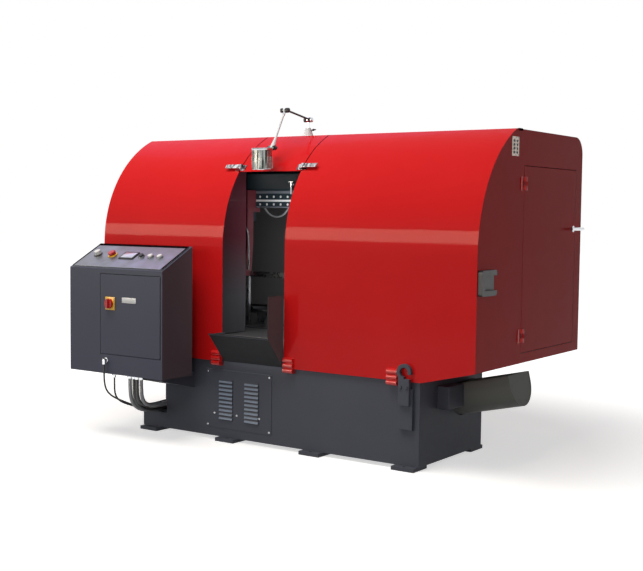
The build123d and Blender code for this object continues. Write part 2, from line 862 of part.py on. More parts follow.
# Cabinet and console
def cabinet_outline(inset):
    skew = inset * tan(console_slope)
    drop = inset / cos(console_slope)
    return [(cabinet_front + inset, cabinet_bottom + inset),
            (cabinet_front + inset, console_front_height + skew - drop),
            (cabinet_rear - inset, console_rear_height - skew - drop),
            (cabinet_rear - inset, cabinet_bottom + inset)]


def cabinet_body():
    outer = side_prism(cabinet_outline(0), cabinet_left, cabinet_right)
    inner = side_prism(cabinet_outline(cabinet_sheet), cabinet_left + cabinet_sheet,
                       cabinet_right - cabinet_sheet)
    shell = outer - inner
    shell -= block(cabinet_door_left - running_gap, cabinet_door_right + cabinet_hinge_gap, cabinet_front,
                   cabinet_front + cabinet_sheet, cabinet_door_bottom - running_gap,
                   cabinet_door_top + running_gap)
    shell -= console_place * Box(cabinet_width - 2 * console_margin, console_run - 2 * console_margin,
                                 4 * cabinet_sheet)
    x = cabinet_door_right - pivot_inset
    y = cabinet_front + pivot_inset
    for z0 in (cabinet_door_bottom - running_gap - pivot_lug, cabinet_door_top + running_gap):
        lug = block(x - pivot_lug, x + pivot_lug, cabinet_front, cabinet_front + pivot_lug,
                    z0, z0 + pivot_lug)
        shell += lug - post(x, y, z0, z0 + pivot_lug, pivot_radius + sliding_clearance)
    return shell


def cabinet_door():
    door = block(cabinet_door_left, cabinet_door_right, cabinet_front, cabinet_front + cabinet_sheet,
                 cabinet_door_bottom, cabinet_door_top)
    back = cabinet_front + door_return
    rim = block(cabinet_door_left + door_return, cabinet_door_right - 2 * door_return, cabinet_front,
                back, cabinet_door_bottom + door_return, cabinet_door_top - door_return)
    wall = door_return + cabinet_sheet
    rim -= block(cabinet_door_left + wall, cabinet_door_right - wall - door_return, cabinet_front,
                 back, cabinet_door_bottom + wall, cabinet_door_top - wall)
    x = cabinet_door_right - pivot_inset
    y = cabinet_front + pivot_inset
    stile = post(x, y, cabinet_door_bottom, cabinet_door_top, pivot_inset - pivot_relief)
    pins = post(x, y, cabinet_door_bottom - pivot_reach, cabinet_door_top + pivot_reach, pivot_radius)
    hole = bar((switch_x, cabinet_front, switch_z), (switch_x, back, switch_z),
               switch_spindle + sliding_clearance)
    return door + rim + stile + pins - hole


def main_switch():
    # A round rotary knob with a raised grip bar, on a spindle through the door
    face = cabinet_front - switch_plate_gap
    knob = bar((switch_x, face, switch_z), (switch_x, face - switch_knob_depth, switch_z), switch_knob)
    grip = block(switch_x - switch_knob * 0.28, switch_x + switch_knob * 0.28,
                 face - 1.8 * switch_knob_depth, face - switch_knob_depth,
                 switch_z - switch_knob, switch_z + switch_knob)
    grip = fillet(grip.edges().filter_by(Axis.Y), switch_knob * 0.25)
    spindle = bar((switch_x, face, switch_z), (switch_x, cabinet_front + 2 * door_return, switch_z),
                  switch_spindle)
    return knob + grip + spindle


def cabinet_bracket():
    # A tapered box arm from the base front to the underside of the cabinet
    tip_y = base_front - bracket_reach
    line = [(base_front, cabinet_bottom - bracket_height), (base_front, cabinet_bottom),
            (tip_y, cabinet_bottom), (tip_y, cabinet_bottom - bracket_tip)]
    arm = side_prism(line, bracket_left, bracket_right)
    inner = [(base_front, cabinet_bottom - bracket_height + base_wall),
             (base_front, cabinet_bottom - base_wall),
             (tip_y + 2 * bracket_tip, cabinet_bottom - base_wall),
             (tip_y + 2 * bracket_tip, cabinet_bottom - bracket_tip)]
    hollow = side_prism(inner, bracket_left + base_wall, bracket_right - base_wall)
    return arm - hollow


def console_spot(x):
    return console_place * Pos(x - console_middle[0], 0, 0)


def console_panel():
    plate = Pos(0, 0, console_plate / 2) * Box(cabinet_width - console_margin,
                                               console_run - console_margin, console_plate)
    plate = console_place * fillet(plate.edges().filter_by(Axis.Z), console_margin / 4)
    for x in button_places.values():
        ring = Cylinder(button_radius + button_collar, button_proud) - Cylinder(
            button_radius + running_gap / 4, button_proud)
        plate += console_spot(x) * (Pos(0, 0, console_plate + button_proud / 2) * ring)
        plate -= console_spot(x) * Cylinder(button_stem + surface_gap, 4 * console_plate)
    for x in (dial_x, stop_x):
        plate -= console_spot(x) * Cylinder(button_stem + sliding_clearance, 4 * console_plate)
    return plate


def push_button(x):
    travel_room = console_plate + button_travel + surface_gap
    stem = Cylinder(button_stem, button_length, align=(Align.CENTER, Align.CENTER, Align.MIN))
    cap = Pos(0, 0, travel_room) * Cylinder(button_radius, button_cap,
                                            align=(Align.CENTER, Align.CENTER, Align.MIN))
    cap = fillet(cap.edges().group_by(Axis.Z)[-1], button_cap / 4)
    return console_spot(x) * (Pos(0, 0, travel_room - button_length) * stem + cap)


def emergency_stop():
    under = console_plate + stop_collar + stop_travel
    stem = Pos(0, 0, under - button_length) * Cylinder(
        button_stem, button_length, align=(Align.CENTER, Align.CENTER, Align.MIN))
    head = Pos(0, 0, under + stop_head / 2) * Cylinder(stop_radius, stop_head)
    head = fillet(head.edges().group_by(Axis.Z)[-1], stop_head / 2.2)
    return console_spot(stop_x) * (stem + head)


def speed_dial():
    under = console_plate + stop_collar
    stem = Pos(0, 0, under - button_length) * Cylinder(
        button_stem, button_length, align=(Align.CENTER, Align.CENTER, Align.MIN))
    knob = Pos(0, 0, under + dial_height / 2) * Cylinder(dial_radius, dial_height)
    for step in range(dial_flutes):
        flute = Pos(dial_radius + dial_flute_radius / 2, 0, under + dial_height / 2) * Cylinder(
            dial_flute_radius, dial_height)
        knob -= Rot(0, 0, step * 360 / dial_flutes) * flute
    return console_spot(dial_x) * (stem + knob)


# Cables and conduits between the cabinet and the base
def cable_glands():
    elbow_drop = cable_1_route[0][2]
    x = cable_1_route[0][0]
    y = cable_1_route[0][1]
    elbow_z = elbow_drop + gland_length
    elbow = bar((x, cabinet_front, elbow_z), (x, y, elbow_z), gland_radius)
    elbow += Pos(x, y, elbow_z) * Sphere(gland_radius)
    elbow += bar((x, y, elbow_z), (x, y, elbow_drop), gland_radius)
    rings = [elbow]
    for route, radius in gland_rings:
        start = route[0]
        end = route[-1]
        if start[2] < cabinet_bottom:
            rings.append(bar((start[0], start[1], cabinet_bottom), start, radius))
        rings.append(bar((end[0], notch_back, end[2]), end, radius))
    return group(rings)


def power_cables():
    return group([cord_tube("cable_1", cable_1_route, cable_diameter),
                  cord_tube("cable_2", cable_2_route, cable_diameter)])


def conduits():
    return group([cord_tube("conduit_" + str(number + 1), route, conduit_diameter)
                  for number, route in enumerate(conduit_routes)])


def coolant_hose():
    return cord_tube("coolant_hose", coolant_route, coolant_diameter)


# Lamp on the centre panel
def lamp_eye(point, offset):
    x = window_centre + offset
    return bar((x - lamp_eye_half, *point), (x + lamp_eye_half, *point), lamp_eye_radius)


def lamp_pin(point, from_offset, to_offset, radius):
    return bar((window_centre + from_offset, *point), (window_centre + to_offset, *point), radius)


def lamp_base():
    cone = Pos(window_centre, lamp_base_y, hood_top) * Cone(
        lamp_cone_wide, lamp_cone_narrow, lamp_cone_height,
        align=(Align.CENTER, Align.CENTER, Align.MIN))
    return cone - post(window_centre, lamp_base_y, hood_top, hood_top + lamp_cone_height,
                       lamp_swivel_radius + sliding_clearance)


def lamp_post():
    stalk = post(window_centre, lamp_base_y, hood_top + lamp_cone_height + surface_gap,
                 lamp_lower_joint[1], lamp_rod_radius)
    spigot = post(window_centre, lamp_base_y, hood_top + surface_gap,
                  hood_top + lamp_cone_height + surface_gap, lamp_swivel_radius)
    eye = lamp_eye(lamp_lower_joint, 0)
    return spigot + stalk + eye - lamp_pin(lamp_lower_joint, -lamp_eye_half, lamp_eye_half,
                                           lamp_pin_radius + sliding_clearance)


def lamp_lower_arm():
    offset = lamp_step
    rod = bar((window_centre + offset, *lamp_lower_joint), (window_centre + offset, *lamp_elbow),
              lamp_rod_radius)
    arm = rod + lamp_eye(lamp_lower_joint, offset) + lamp_eye(lamp_elbow, offset)
    arm += lamp_pin(lamp_lower_joint, -2 * lamp_step, offset, lamp_pin_radius)
    arm += lamp_pin(lamp_lower_joint, -2 * lamp_step, -lamp_step, lamp_knob_radius)
    return arm + lamp_pin(lamp_elbow, -2 * lamp_step, offset, lamp_pin_radius) + lamp_pin(
        lamp_elbow, -2 * lamp_step, -lamp_step, lamp_knob_radius)


def lamp_upper_arm():
    rod = bar((window_centre, *lamp_elbow), (window_centre, *lamp_head_joint), lamp_rod_radius)
    arm = rod + lamp_eye(lamp_elbow, 0) + lamp_eye(lamp_head_joint, 0)
    for joint in (lamp_elbow, lamp_head_joint):
        arm -= lamp_pin(joint, -lamp_eye_half, lamp_eye_half, lamp_pin_radius + sliding_clearance)
    return arm


def lamp_head():
    # An open can with ringed vents, held by a short rod in front of the upper arm's joint
    tilt = radians(lamp_tilt)
    axis_y = lamp_head_joint[0] - lamp_head_reach
    top = Vector(window_centre, axis_y, lamp_head_joint[1] - lamp_head_drop)
    place = Plane(origin=top, x_dir=(1, 0, 0), z_dir=(0, sin(tilt), -cos(tilt)))
    low_end = (Align.CENTER, Align.CENTER, Align.MIN)
    can = Cylinder(lamp_head_radius, lamp_head_length, align=low_end)
    can = fillet(can.edges().group_by(Axis.Z)[0], lamp_shell * 2)
    can -= Pos(0, 0, lamp_shell) * Cylinder(lamp_head_radius - lamp_shell, lamp_head_length,
                                            align=low_end)
    for step in range(lamp_vents):
        ring = Cylinder(lamp_head_radius, lamp_shell)
        ring -= Cylinder(lamp_head_radius - lamp_shell / 2, lamp_shell)
        can -= Pos(0, 0, lamp_vent_start + step * 2 * lamp_shell) * ring
    rod_x = window_centre + lamp_step
    rod_z = lamp_head_joint[1] - 3 * lamp_rod_radius
    rod = bar((rod_x, *lamp_head_joint), (rod_x, axis_y + lamp_head_radius - lamp_shell, rod_z),
              lamp_rod_radius)
    head = place * can + lamp_eye(lamp_head_joint, lamp_step) + rod
    head += lamp_pin(lamp_head_joint, -2 * lamp_step, lamp_step, lamp_pin_radius)
    return head + lamp_pin(lamp_head_joint, -2 * lamp_step, -lamp_step, lamp_knob_radius)


# Saw frame: a beam on two columns that carries the band wheels
def wheel_place(x, behind=0.0):
    # Plane of a band wheel: X along the beam, Y up its leaning face, Z out of its open front
    origin = (x, wheel_y + behind * lean_cos, wheel_z + behind * lean_sin)
    return Plane(origin=origin, x_dir=(1, 0, 0), z_dir=(0, -lean_cos, -lean_sin))


def saw_beam():
    beam = block(-beam_half_length, beam_half_length, beam_front, beam_rear, beam_bottom, beam_top)
    beam -= block(-beam_half_length, beam_half_length, beam_front + beam_wall, beam_rear - beam_wall,
                  beam_bottom + beam_wall, beam_top - beam_wall)
    for x in (column_left, column_right):
        beam += post(x, column_y, sleeve_bottom, beam_top, sleeve_radius)
    for x in (-wheel_x, wheel_x):
        plate = block(-head_width / 2, head_width / 2, -head_drop, head_rise, head_back, head_front)
        plate = fillet(plate.edges().filter_by(Axis.Z), head_width / 6)
        beam += wheel_place(x) * plate
        beam += block(x - head_width / 3, x + head_width / 3, head_tie_front, beam_front + beam_wall,
                      beam_bottom, beam_bottom + head_tie_height)
    ways = block(-way_length / 2, way_length / 2, carriage_half + surface_gap,
                 carriage_half + way_height, head_front, head_front + head_gap - 2 * hinge_leaf)
    beam += wheel_place(-wheel_x) * (ways + mirror(ways, about=Plane.XZ))
    beam -= wheel_place(wheel_x) * Pos(0, 0, (head_front + head_back) / 2) * Cylinder(
        wheel_shaft_radius + running_gap, 2 * head_plate)
    for x in (column_left, column_right):
        beam -= post(x, column_y, sleeve_bottom, beam_top, column_radius + sliding_clearance)
    return beam


def guide_rail():
    return block(rail_left, rail_right, rail_front, rail_front + rail_thickness, rail_bottom,
                 beam_bottom)


def band_cover():
    top = beam_top - cover_drop
    line = [(cover_front, beam_bottom), (cover_front, top), (beam_front, top),
            (beam_front, top - sheet), (cover_front + sheet, top - sheet),
            (cover_front + sheet, beam_bottom)]
    reach = wheel_x - wheel_radius - cover_end_gap
    return side_prism(line, -reach, reach)


def band_wheel():
    rim_radius = wheel_radius - band_gap
    rim = Pos(0, 0, (wheel_front + wheel_back) / 2) * Cylinder(rim_radius, wheel_front - wheel_back)
    rim -= Pos(0, 0, (wheel_front + wheel_back) / 2) * Cylinder(
        rim_radius - wheel_rim, wheel_front - wheel_back)
    flange = Pos(0, 0, wheel_back + wheel_flange_thickness / 2) * (
        Cylinder(wheel_radius + wheel_flange, wheel_flange_thickness)
        - Cylinder(rim_radius - wheel_rim, wheel_flange_thickness))
    web = Pos(0, 0, wheel_back + wheel_web) * Cylinder(rim_radius - wheel_rim / 2, wheel_web)
    hub = Pos(0, 0, (wheel_front + wheel_back) / 2) * Cylinder(wheel_hub, wheel_front - wheel_back)
    wheel = rim + flange + web + hub
    hole_circle = (rim_radius - wheel_rim + wheel_hub) / 2
    for step in range(wheel_holes):
        hole = Pos(hole_circle, 0, wheel_back + wheel_web) * Cylinder(wheel_hole_radius, 2 * wheel_web)
        wheel -= Rot(0, 0, step * 360 / wheel_holes) * hole
    return wheel


def drive_wheel():
    shaft_end = head_back - gearbox_depth / 2
    shaft = Pos(0, 0, shaft_end) * Cylinder(wheel_shaft_radius, wheel_front - shaft_end + head_plate,
                                            align=(Align.CENTER, Align.CENTER, Align.MIN))
    return wheel_place(wheel_x) * (band_wheel() + shaft)


def idler_wheel():
    bore = Cylinder(wheel_shaft_radius + sliding_clearance, 4 * band_width)
    return wheel_place(-wheel_x) * (band_wheel() - bore)


def idler_carriage():
    # The tension slide: a plate between two ways, with the idler's axle on it
    back = head_front + surface_gap
    front = head_front + head_gap - hinge_leaf
    plate = block(-carriage_length / 2, carriage_length / 2, -carriage_half, carriage_half, back, front)
    axle = Pos(0, 0, back) * Cylinder(wheel_shaft_radius, wheel_front + head_plate - back,
                                      align=(Align.CENTER, Align.CENTER, Align.MIN))
    return wheel_place(-wheel_x) * (plate + axle)


def gearbox():
    half = gearbox_size / 2
    case = block(-half, half, -half, half, head_back - gearbox_depth, head_back)
    case = fillet(case.edges().filter_by(Axis.Z), gearbox_size / 8)
    cap = Pos(0, 0, head_back - gearbox_depth) * Cylinder(
        motor_radius * 1.15, 2 * head_plate)
    bore = Pos(0, 0, head_back - gearbox_depth / 2) * Cylinder(
        wheel_shaft_radius + sliding_clearance, gearbox_depth,
        align=(Align.CENTER, Align.CENTER, Align.MIN))
    return wheel_place(wheel_x) * (case + cap - bore)


def drive_motor():
    start = head_back - gearbox_depth - head_plate
    body = Pos(0, 0, start - motor_length) * Cylinder(
        motor_radius, motor_length, align=(Align.CENTER, Align.CENTER, Align.MIN))
    cowl = Pos(0, 0, start - motor_length) * Cylinder(
        motor_radius + motor_fin, motor_length / 5, align=(Align.CENTER, Align.CENTER, Align.MIN))
    cowl = fillet(cowl.edges().group_by(Axis.Z)[0], motor_fin)
    motor = body + cowl
    for step in range(motor_fins):
        fin = block(motor_radius - motor_fin, motor_radius + motor_fin, -motor_fin / 5, motor_fin / 5,
                    start - motor_length * 0.75, start - motor_length * 0.1)
        motor += Rot(0, 0, step * 360 / motor_fins) * fin
    box = block(-motor_radius / 2, motor_radius / 2, motor_radius / 2, motor_radius * 1.35,
                start - motor_length * 0.6, start - motor_length * 0.2)
    return wheel_place(wheel_x) * (motor + box)


def band_section(x, twist):
    # The band's cross-section on the lower run, twisted from the wheel's lean towards upright
    place = Plane(origin=(x, cut_y, cut_centre_z), x_dir=(0, lean_cos, lean_sin), z_dir=(1, 0, 0))
    return place * Rot(0, 0, twist) * Rectangle(band_width, band_thickness)


def twisted_run(x_start, x_guide):
    full = 90.0 - wheel_lean
    sections = []
    for step in range(twist_steps + 1):
        share = step / twist_steps
        x = x_start + (x_guide - x_start) * share
        sections.append(band_section(x, full * share))
    return loft(sections, ruled=True)


def band_blade():
    # Around both wheels and along the top, then the twisted and the upright cutting runs
    outer = SlotCenterToCenter(2 * wheel_x, 2 * (wheel_radius + band_thickness))
    inner = SlotCenterToCenter(2 * wheel_x, 2 * wheel_radius)
    ribbon = outer - inner
    twist_x = wheel_x - twist_start
    ribbon -= Pos(0, -wheel_radius) * Rectangle(2 * twist_x, wheel_radius)
    loop = extrude(wheel_place(0) * ribbon, band_width / 2, both=True)
    left_guide = left_arm_x - arm_width / 2
    right_guide = right_arm_x + arm_width / 2
    loop += twisted_run(-twist_x, left_guide)
    loop += twisted_run(twist_x, right_guide)
    points = [(left_guide, cut_height), (left_guide, cut_height + band_width),
              (right_guide, cut_height + band_width), (right_guide, cut_height)]
    count = int((right_guide - left_guide) / tooth_pitch) - 1
    for step in range(count):
        tip = right_guide - tooth_pitch * (step + 0.5)
        points.append((tip, cut_height))
        points.append((tip - tooth_pitch * 0.1, cut_height + tooth_depth))
        points.append((tip - tooth_pitch * 0.5, cut_height + tooth_depth))
    cutting = front_prism(points, cut_y - band_thickness / 2, cut_y + band_thickness / 2)
    return loop + cutting


def guide_arm(x, rail_gap):
    # A tapered arm that hooks on the rail and straddles the band at its foot
    half = arm_width / 2
    foot = half * 0.7
    outline = [(x - foot, arm_bottom), (x + foot, arm_bottom), (x + half, arm_bottom + 4 * half),
               (x + half, beam_bottom - running_gap), (x - half, beam_bottom - running_gap),
               (x - half, arm_bottom + 4 * half)]
    arm = front_prism(outline, arm_front, arm_back)
    arm += block(x - half, x + half, arm_back, rail_front - rail_gap, rail_bottom,
                 beam_bottom - running_gap)
    arm += block(x - half, x + half, arm_back, rail_front + rail_thickness,
                 rail_bottom - arm_hook, rail_bottom - rail_gap)
    slot = band_thickness / 2 + guide_slot_gap
    arm -= block(x - half, x + half, cut_y - slot, cut_y + slot, arm_bottom,
                 cut_height + band_width + guide_slot_gap)
    window = block(x - half * 0.4, x + half * 0.4, arm_front, arm_front + head_plate / 2,
                   arm_bottom + 4 * half, rail_bottom - arm_hook)
    return arm - window


def left_guide_arm():
    return guide_arm(left_arm_x, surface_gap)


def right_guide_arm():
    # The fixed arm also carries the bracket of the chip brush
    arm = guide_arm(right_arm_x, 0.0)
    back = arm_back + brush_bracket
    bracket = block(right_arm_x, brush_x + arm_hook, arm_back, back, arm_bottom + arm_hook / 2,
                    arm_bottom + 2.5 * arm_hook)
    bracket += block(brush_x - arm_hook, brush_x + arm_hook, arm_back, back, brush_z - arm_hook,
                     arm_bottom + arm_hook)
    pin = bar((brush_x, cut_y - brush_width, brush_z), (brush_x, back, brush_z), brush_pin)
    return arm + bracket + pin


def wire_brush():
    y0 = cut_y - brush_width * 0.8
    y1 = y0 + brush_width
    disc = bar((brush_x, y0, brush_z), (brush_x, y1, brush_z), brush_radius)
    for side in range(brush_notches):
        notch = Pos(brush_radius, 0, 0) * Box(brush_pin, brush_pin, 4 * brush_width)
        disc -= Pos(brush_x, (y0 + y1) / 2, brush_z) * (
            Rot(90, 0, 0) * (Rot(0, 0, side * 360 / brush_notches) * notch))
    return disc - bar((brush_x, y0, brush_z), (brush_x, y1, brush_z), brush_pin + sliding_clearance)


nodes = {
    "base_frame": base_frame,
    "foot_plates": foot_plates,
    "service_panel": service_panel,
    "lifting_lugs": lifting_lugs,
    "chip_trough": chip_trough,
    "auger": auger,
    "conveyor_box": conveyor_box,
    "work_table": work_table,
    "fixed_jaw": fixed_jaw,
    "moving_jaw": moving_jaw,
    "vice_cylinder": vice_cylinder,
    "columns": columns,
    "column_tie": column_tie,
    "lift_cylinder": lift_cylinder,
    "lift_rod": lift_rod,
    "front_tray": front_tray,
    "right_guard": lambda: guard(window_right),
    "left_guard": lambda: mirrored(guard(-window_left)),
    "centre_panel": centre_panel,
    "right_door": end_door,
    "left_door": lambda: mirrored(end_door()),
    "door_hinges": door_hinges,
    "right_door_handle": door_handle,
    "left_door_handle": lambda: mirrored(door_handle()),
    "guard_clamps": guard_clamps,
    "grab_handles": grab_handles,
    "latch_plates": latch_plates,
    "left_latch_lever": lambda: latch_lever(window_left, -1),
    "right_latch_lever": lambda: latch_lever(window_right, 1),
    "cabinet_body": cabinet_body,
    "cabinet_door": cabinet_door,
    "cabinet_bracket": cabinet_bracket,
    "main_switch": main_switch,
    "console_panel": console_panel,
    "speed_dial": speed_dial,
    "emergency_stop": emergency_stop,
    "cable_glands": cable_glands,
    "power_cables": power_cables,
    "conduits": conduits,
    "coolant_hose": coolant_hose,
    "lamp_base": lamp_base,
    "lamp_post": lamp_post,
    "lamp_lower_arm": lamp_lower_arm,
    "lamp_upper_arm": lamp_upper_arm,
    "lamp_head": lamp_head,
    "saw_beam": saw_beam,
    "guide_rail": guide_rail,
    "band_cover": band_cover,
    "band_blade": band_blade,
    "drive_wheel": drive_wheel,
    "idler_wheel": idler_wheel,
    "idler_carriage": idler_carriage,
    "gearbox": gearbox,
    "drive_motor": drive_motor,
    "left_guide_arm": left_guide_arm,
    "right_guide_arm": right_guide_arm,
    "wire_brush": wire_brush,
}

os.makedirs("parts", exist_ok=True)
for name, make in nodes.items():
    export_step(make(), "parts/" + name + ".step")
for name, x in button_places.items():
    export_step(push_button(x), "parts/" + name + ".step")
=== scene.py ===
import json
import math
import random

import bmesh
import bpy
from mathutils import Matrix, Vector


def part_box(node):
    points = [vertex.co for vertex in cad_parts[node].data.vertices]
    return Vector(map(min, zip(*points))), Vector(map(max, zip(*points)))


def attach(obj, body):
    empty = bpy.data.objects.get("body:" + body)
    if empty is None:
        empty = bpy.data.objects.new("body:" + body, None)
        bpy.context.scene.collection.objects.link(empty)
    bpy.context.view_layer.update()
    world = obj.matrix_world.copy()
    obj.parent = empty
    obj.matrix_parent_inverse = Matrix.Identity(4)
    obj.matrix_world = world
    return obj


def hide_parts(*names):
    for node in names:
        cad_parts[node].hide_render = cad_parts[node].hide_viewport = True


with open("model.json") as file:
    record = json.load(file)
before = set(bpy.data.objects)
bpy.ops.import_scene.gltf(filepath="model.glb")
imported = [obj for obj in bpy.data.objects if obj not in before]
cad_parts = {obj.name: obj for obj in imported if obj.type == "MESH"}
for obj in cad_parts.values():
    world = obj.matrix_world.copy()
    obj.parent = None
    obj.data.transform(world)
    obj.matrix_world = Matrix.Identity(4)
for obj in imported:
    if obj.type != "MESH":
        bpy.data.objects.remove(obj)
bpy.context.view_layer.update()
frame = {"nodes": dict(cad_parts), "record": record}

corner = {name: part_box(name) for name in frame["nodes"]}  # low and high corner of each node
slotOf = {part["node"]: part["material_slot"] for part in frame["record"]["subparts"]}
jointAt = {joint["name"]: Vector(joint["pos_m"]) for joint in frame["record"]["behaviour"]["joints"]
           if "pos_m" in joint}
print("frame loaded:", len(corner), "nodes")


# Camera at the photograph's viewing angle
cameraLook = {"place": (3.6947, -5.1578, 1.2930), "yaw": 34.875, "pitch": 3.780, "roll": 0.638,
              "lens": 62.87, "sensor": 36.0}


def makeCamera(look):
    lens = bpy.data.cameras.new("viewCamera")
    lens.lens = look["lens"]
    lens.sensor_width = look["sensor"]
    camera = bpy.data.objects.new("viewCamera", lens)
    bpy.context.scene.collection.objects.link(camera)
    turn = Matrix.Rotation(math.radians(look["yaw"]), 4, "Z")
    turn = turn @ Matrix.Rotation(math.radians(90 - look["pitch"]), 4, "X")
    turn = turn @ Matrix.Rotation(math.radians(look["roll"]), 4, "Z")
    camera.matrix_world = Matrix.Translation(look["place"]) @ turn
    bpy.context.scene.camera = camera


makeCamera(cameraLook)
print("camera placed")


# Materials
def hexColour(text):
    channels = [int(text[i:i + 2], 16) / 255 for i in (0, 2, 4)]
    linear = [c / 12.92 if c <= 0.04045 else ((c + 0.055) / 1.055) ** 2.4 for c in channels]
    return (*linear, 1.0)


def perMetre(millimetres):
    return 1000.0 / millimetres  # pattern scale whose features are about this wide


def addNode(tree, kind, settings=None, inputs=None):
    node = tree.nodes.new(kind)
    for name, value in (settings or {}).items():
        setattr(node, name, value)
    for name, value in (inputs or {}).items():
        if isinstance(value, bpy.types.NodeSocket):
            tree.links.new(value, node.inputs[name])
        else:
            node.inputs[name].default_value = value
    return node


def newFinish(name):
    finish = bpy.data.materials.new(name)
    finish.use_nodes = True
    finish.node_tree.nodes.clear()
    return finish, finish.node_tree


def endFinish(tree, inputs):
    shader = addNode(tree, "ShaderNodeBsdfPrincipled", None, inputs)
    addNode(tree, "ShaderNodeOutputMaterial", None, {"Surface": shader.outputs[0]})


def mottled(tree, spot, sizeMm, detail, look):
    # Soft clouds of about this size, and the finish's two tones mixed by them
    cloud = addNode(tree, "ShaderNodeTexNoise", None,
                    {"Vector": spot, "Scale": perMetre(sizeMm), "Detail": detail})
    tone = addNode(tree, "ShaderNodeMix", {"data_type": "RGBA"},
                   {0: cloud.outputs[0], 6: hexColour(look["low"]), 7: hexColour(look["high"])})
    return cloud.outputs[0], tone.outputs[2]


sidewaysFrom = 0.7  # a face whose normal leans this far along X looks sideways


def looksSideways(tree, place):
    turn = addNode(tree, "ShaderNodeSeparateXYZ", None, {0: place.outputs["Normal"]})
    aside = addNode(tree, "ShaderNodeMath", {"operation": "ABSOLUTE"}, {0: turn.outputs["X"]})
    mask = addNode(tree, "ShaderNodeMath", {"operation": "GREATER_THAN"},
                   {0: aside.outputs[0], 1: sidewaysFrom})
    return mask.outputs[0]


def paintedSideLight(tree, place, colour, look):
    # Faces that look sideways get a paler colour: painted light on the sides
    panel = addNode(tree, "ShaderNodeMix", {"data_type": "RGBA"},
                    {0: looksSideways(tree, place), 6: colour, 7: hexColour(look["sides"])})
    return panel.outputs[2]


def paintedBladeLight(tree, place, colour, look):
    # Louvre blades tilt up out of the panel; their lower halves, which stand out and face up, get a paler
    # painted highlight
    turn = addNode(tree, "ShaderNodeSeparateXYZ", None, {0: place.outputs["Normal"]})
    tilted = addNode(tree, "ShaderNodeMath", {"operation": "GREATER_THAN"},
                     {0: turn.outputs["Z"], 1: look["bladeLightTilt"]})
    level = addNode(tree, "ShaderNodeSeparateXYZ", None, {0: place.outputs["Object"]})
    above = addNode(tree, "ShaderNodeMath", {"operation": "SUBTRACT"},
                    {0: level.outputs["Z"], 1: look["bladeLightFirst"]})
    within = addNode(tree, "ShaderNodeMath", {"operation": "MODULO"},
                     {0: above.outputs[0], 1: look["bladeLightPitch"]})
    low = addNode(tree, "ShaderNodeMapRange", None,
                  {"Value": within.outputs[0], "From Min": look["bladeLightPitch"] * look["plainFrom"],
                   "From Max": look["bladeLightPitch"] * look["highlightTo"]})
    highlit = addNode(tree, "ShaderNodeMath", {"operation": "MULTIPLY"},
                     {0: tilted.outputs[0], 1: low.outputs[0]})
    bladeLight = addNode(tree, "ShaderNodeMix", {"data_type": "RGBA"},
                    {0: highlit.outputs[0], 6: colour, 7: hexColour(look["bladeLight"])})
    return bladeLight.outputs[2]


def innerCoatAndShade(tree, place, colour, look):
    # Faces that look towards the hood's middle get a grey coat in place of the red. On the window's sides the
    # coat is
    # painted shade: dark grey low down, and higher up the red as it looks in shade
    spot, normal = place.outputs["Object"], place.outputs["Normal"]
    height = addNode(tree, "ShaderNodeSeparateXYZ", None, {0: spot})
    high = addNode(tree, "ShaderNodeMapRange", None,
                   {"Value": height.outputs["Z"], "From Min": look["shadeFrom"],
                    "From Max": look["shadeTo"]})
    sideShade = addNode(tree, "ShaderNodeMix", {"data_type": "RGBA"},
                     {0: high.outputs[0], 6: hexColour(look["insideLow"]), 7: hexColour(look["insideHigh"])})
    innerTone = addNode(tree, "ShaderNodeMix", {"data_type": "RGBA"},
                     {0: looksSideways(tree, place), 6: hexColour(look["inside"]), 7: sideShade.outputs[2]})
    away = addNode(tree, "ShaderNodeVectorMath", {"operation": "SUBTRACT"}, {0: spot, 1: look["middle"]})
    facing = addNode(tree, "ShaderNodeVectorMath", {"operation": "DOT_PRODUCT"},
                     {0: away.outputs[0], 1: normal})
    inner = addNode(tree, "ShaderNodeMath", {"operation": "LESS_THAN"}, {0: facing.outputs["Value"], 1: 0.0})
    coat = addNode(tree, "ShaderNodeMix", {"data_type": "RGBA"},
                   {0: inner.outputs[0], 6: colour, 7: innerTone.outputs[2]})
    return coat.outputs[2]


def enamel(name, look):
    # Sprayed enamel on steel: even colour that drifts a little, a satin skin with faint orange peel.
    # The peel is drawn about ten times as coarse as the real one, so that it shows from three metres.
    finish, tree = newFinish(name)
    place = addNode(tree, "ShaderNodeTexCoord")
    spot = place.outputs["Object"]
    colour = mottled(tree, spot, look["driftMm"], 4.0, look)[1]
    # Over the base tone: painted light on sideways faces and on louvre blades, and the inner coat with its
    # painted shade
    for part, coat in (("sides", paintedSideLight), ("bladeLight", paintedBladeLight), ("inside", innerCoatAndShade)):
        if part in look:
            colour = coat(tree, place, colour, look)
    scuff = addNode(tree, "ShaderNodeTexNoise", None,
                    {"Vector": spot, "Scale": perMetre(look["scuffMm"]), "Detail": 6.0, "Roughness": 0.7})
    rough = addNode(tree, "ShaderNodeMapRange", None,
                    {"Value": scuff.outputs[0], "From Min": 0.3, "From Max": 0.7,
                     "To Min": look["rough"] - 0.05, "To Max": look["rough"] + 0.05})
    peel = addNode(tree, "ShaderNodeTexNoise", None,
                   {"Vector": spot, "Scale": perMetre(look["peelMm"]), "Detail": 2.0})
    bump = addNode(tree, "ShaderNodeBump", None,
                   {"Strength": look["bump"], "Distance": look["peelMm"] / 6000, "Height": peel.outputs[0]})
    endFinish(tree, {"Base Color": colour, "Roughness": rough.outputs[0], "Normal": bump.outputs[0],
                     "Specular IOR Level": look["specular"], "Coat Weight": look["coat"],
                     "Coat Roughness": look["coatRough"]})
    return finish


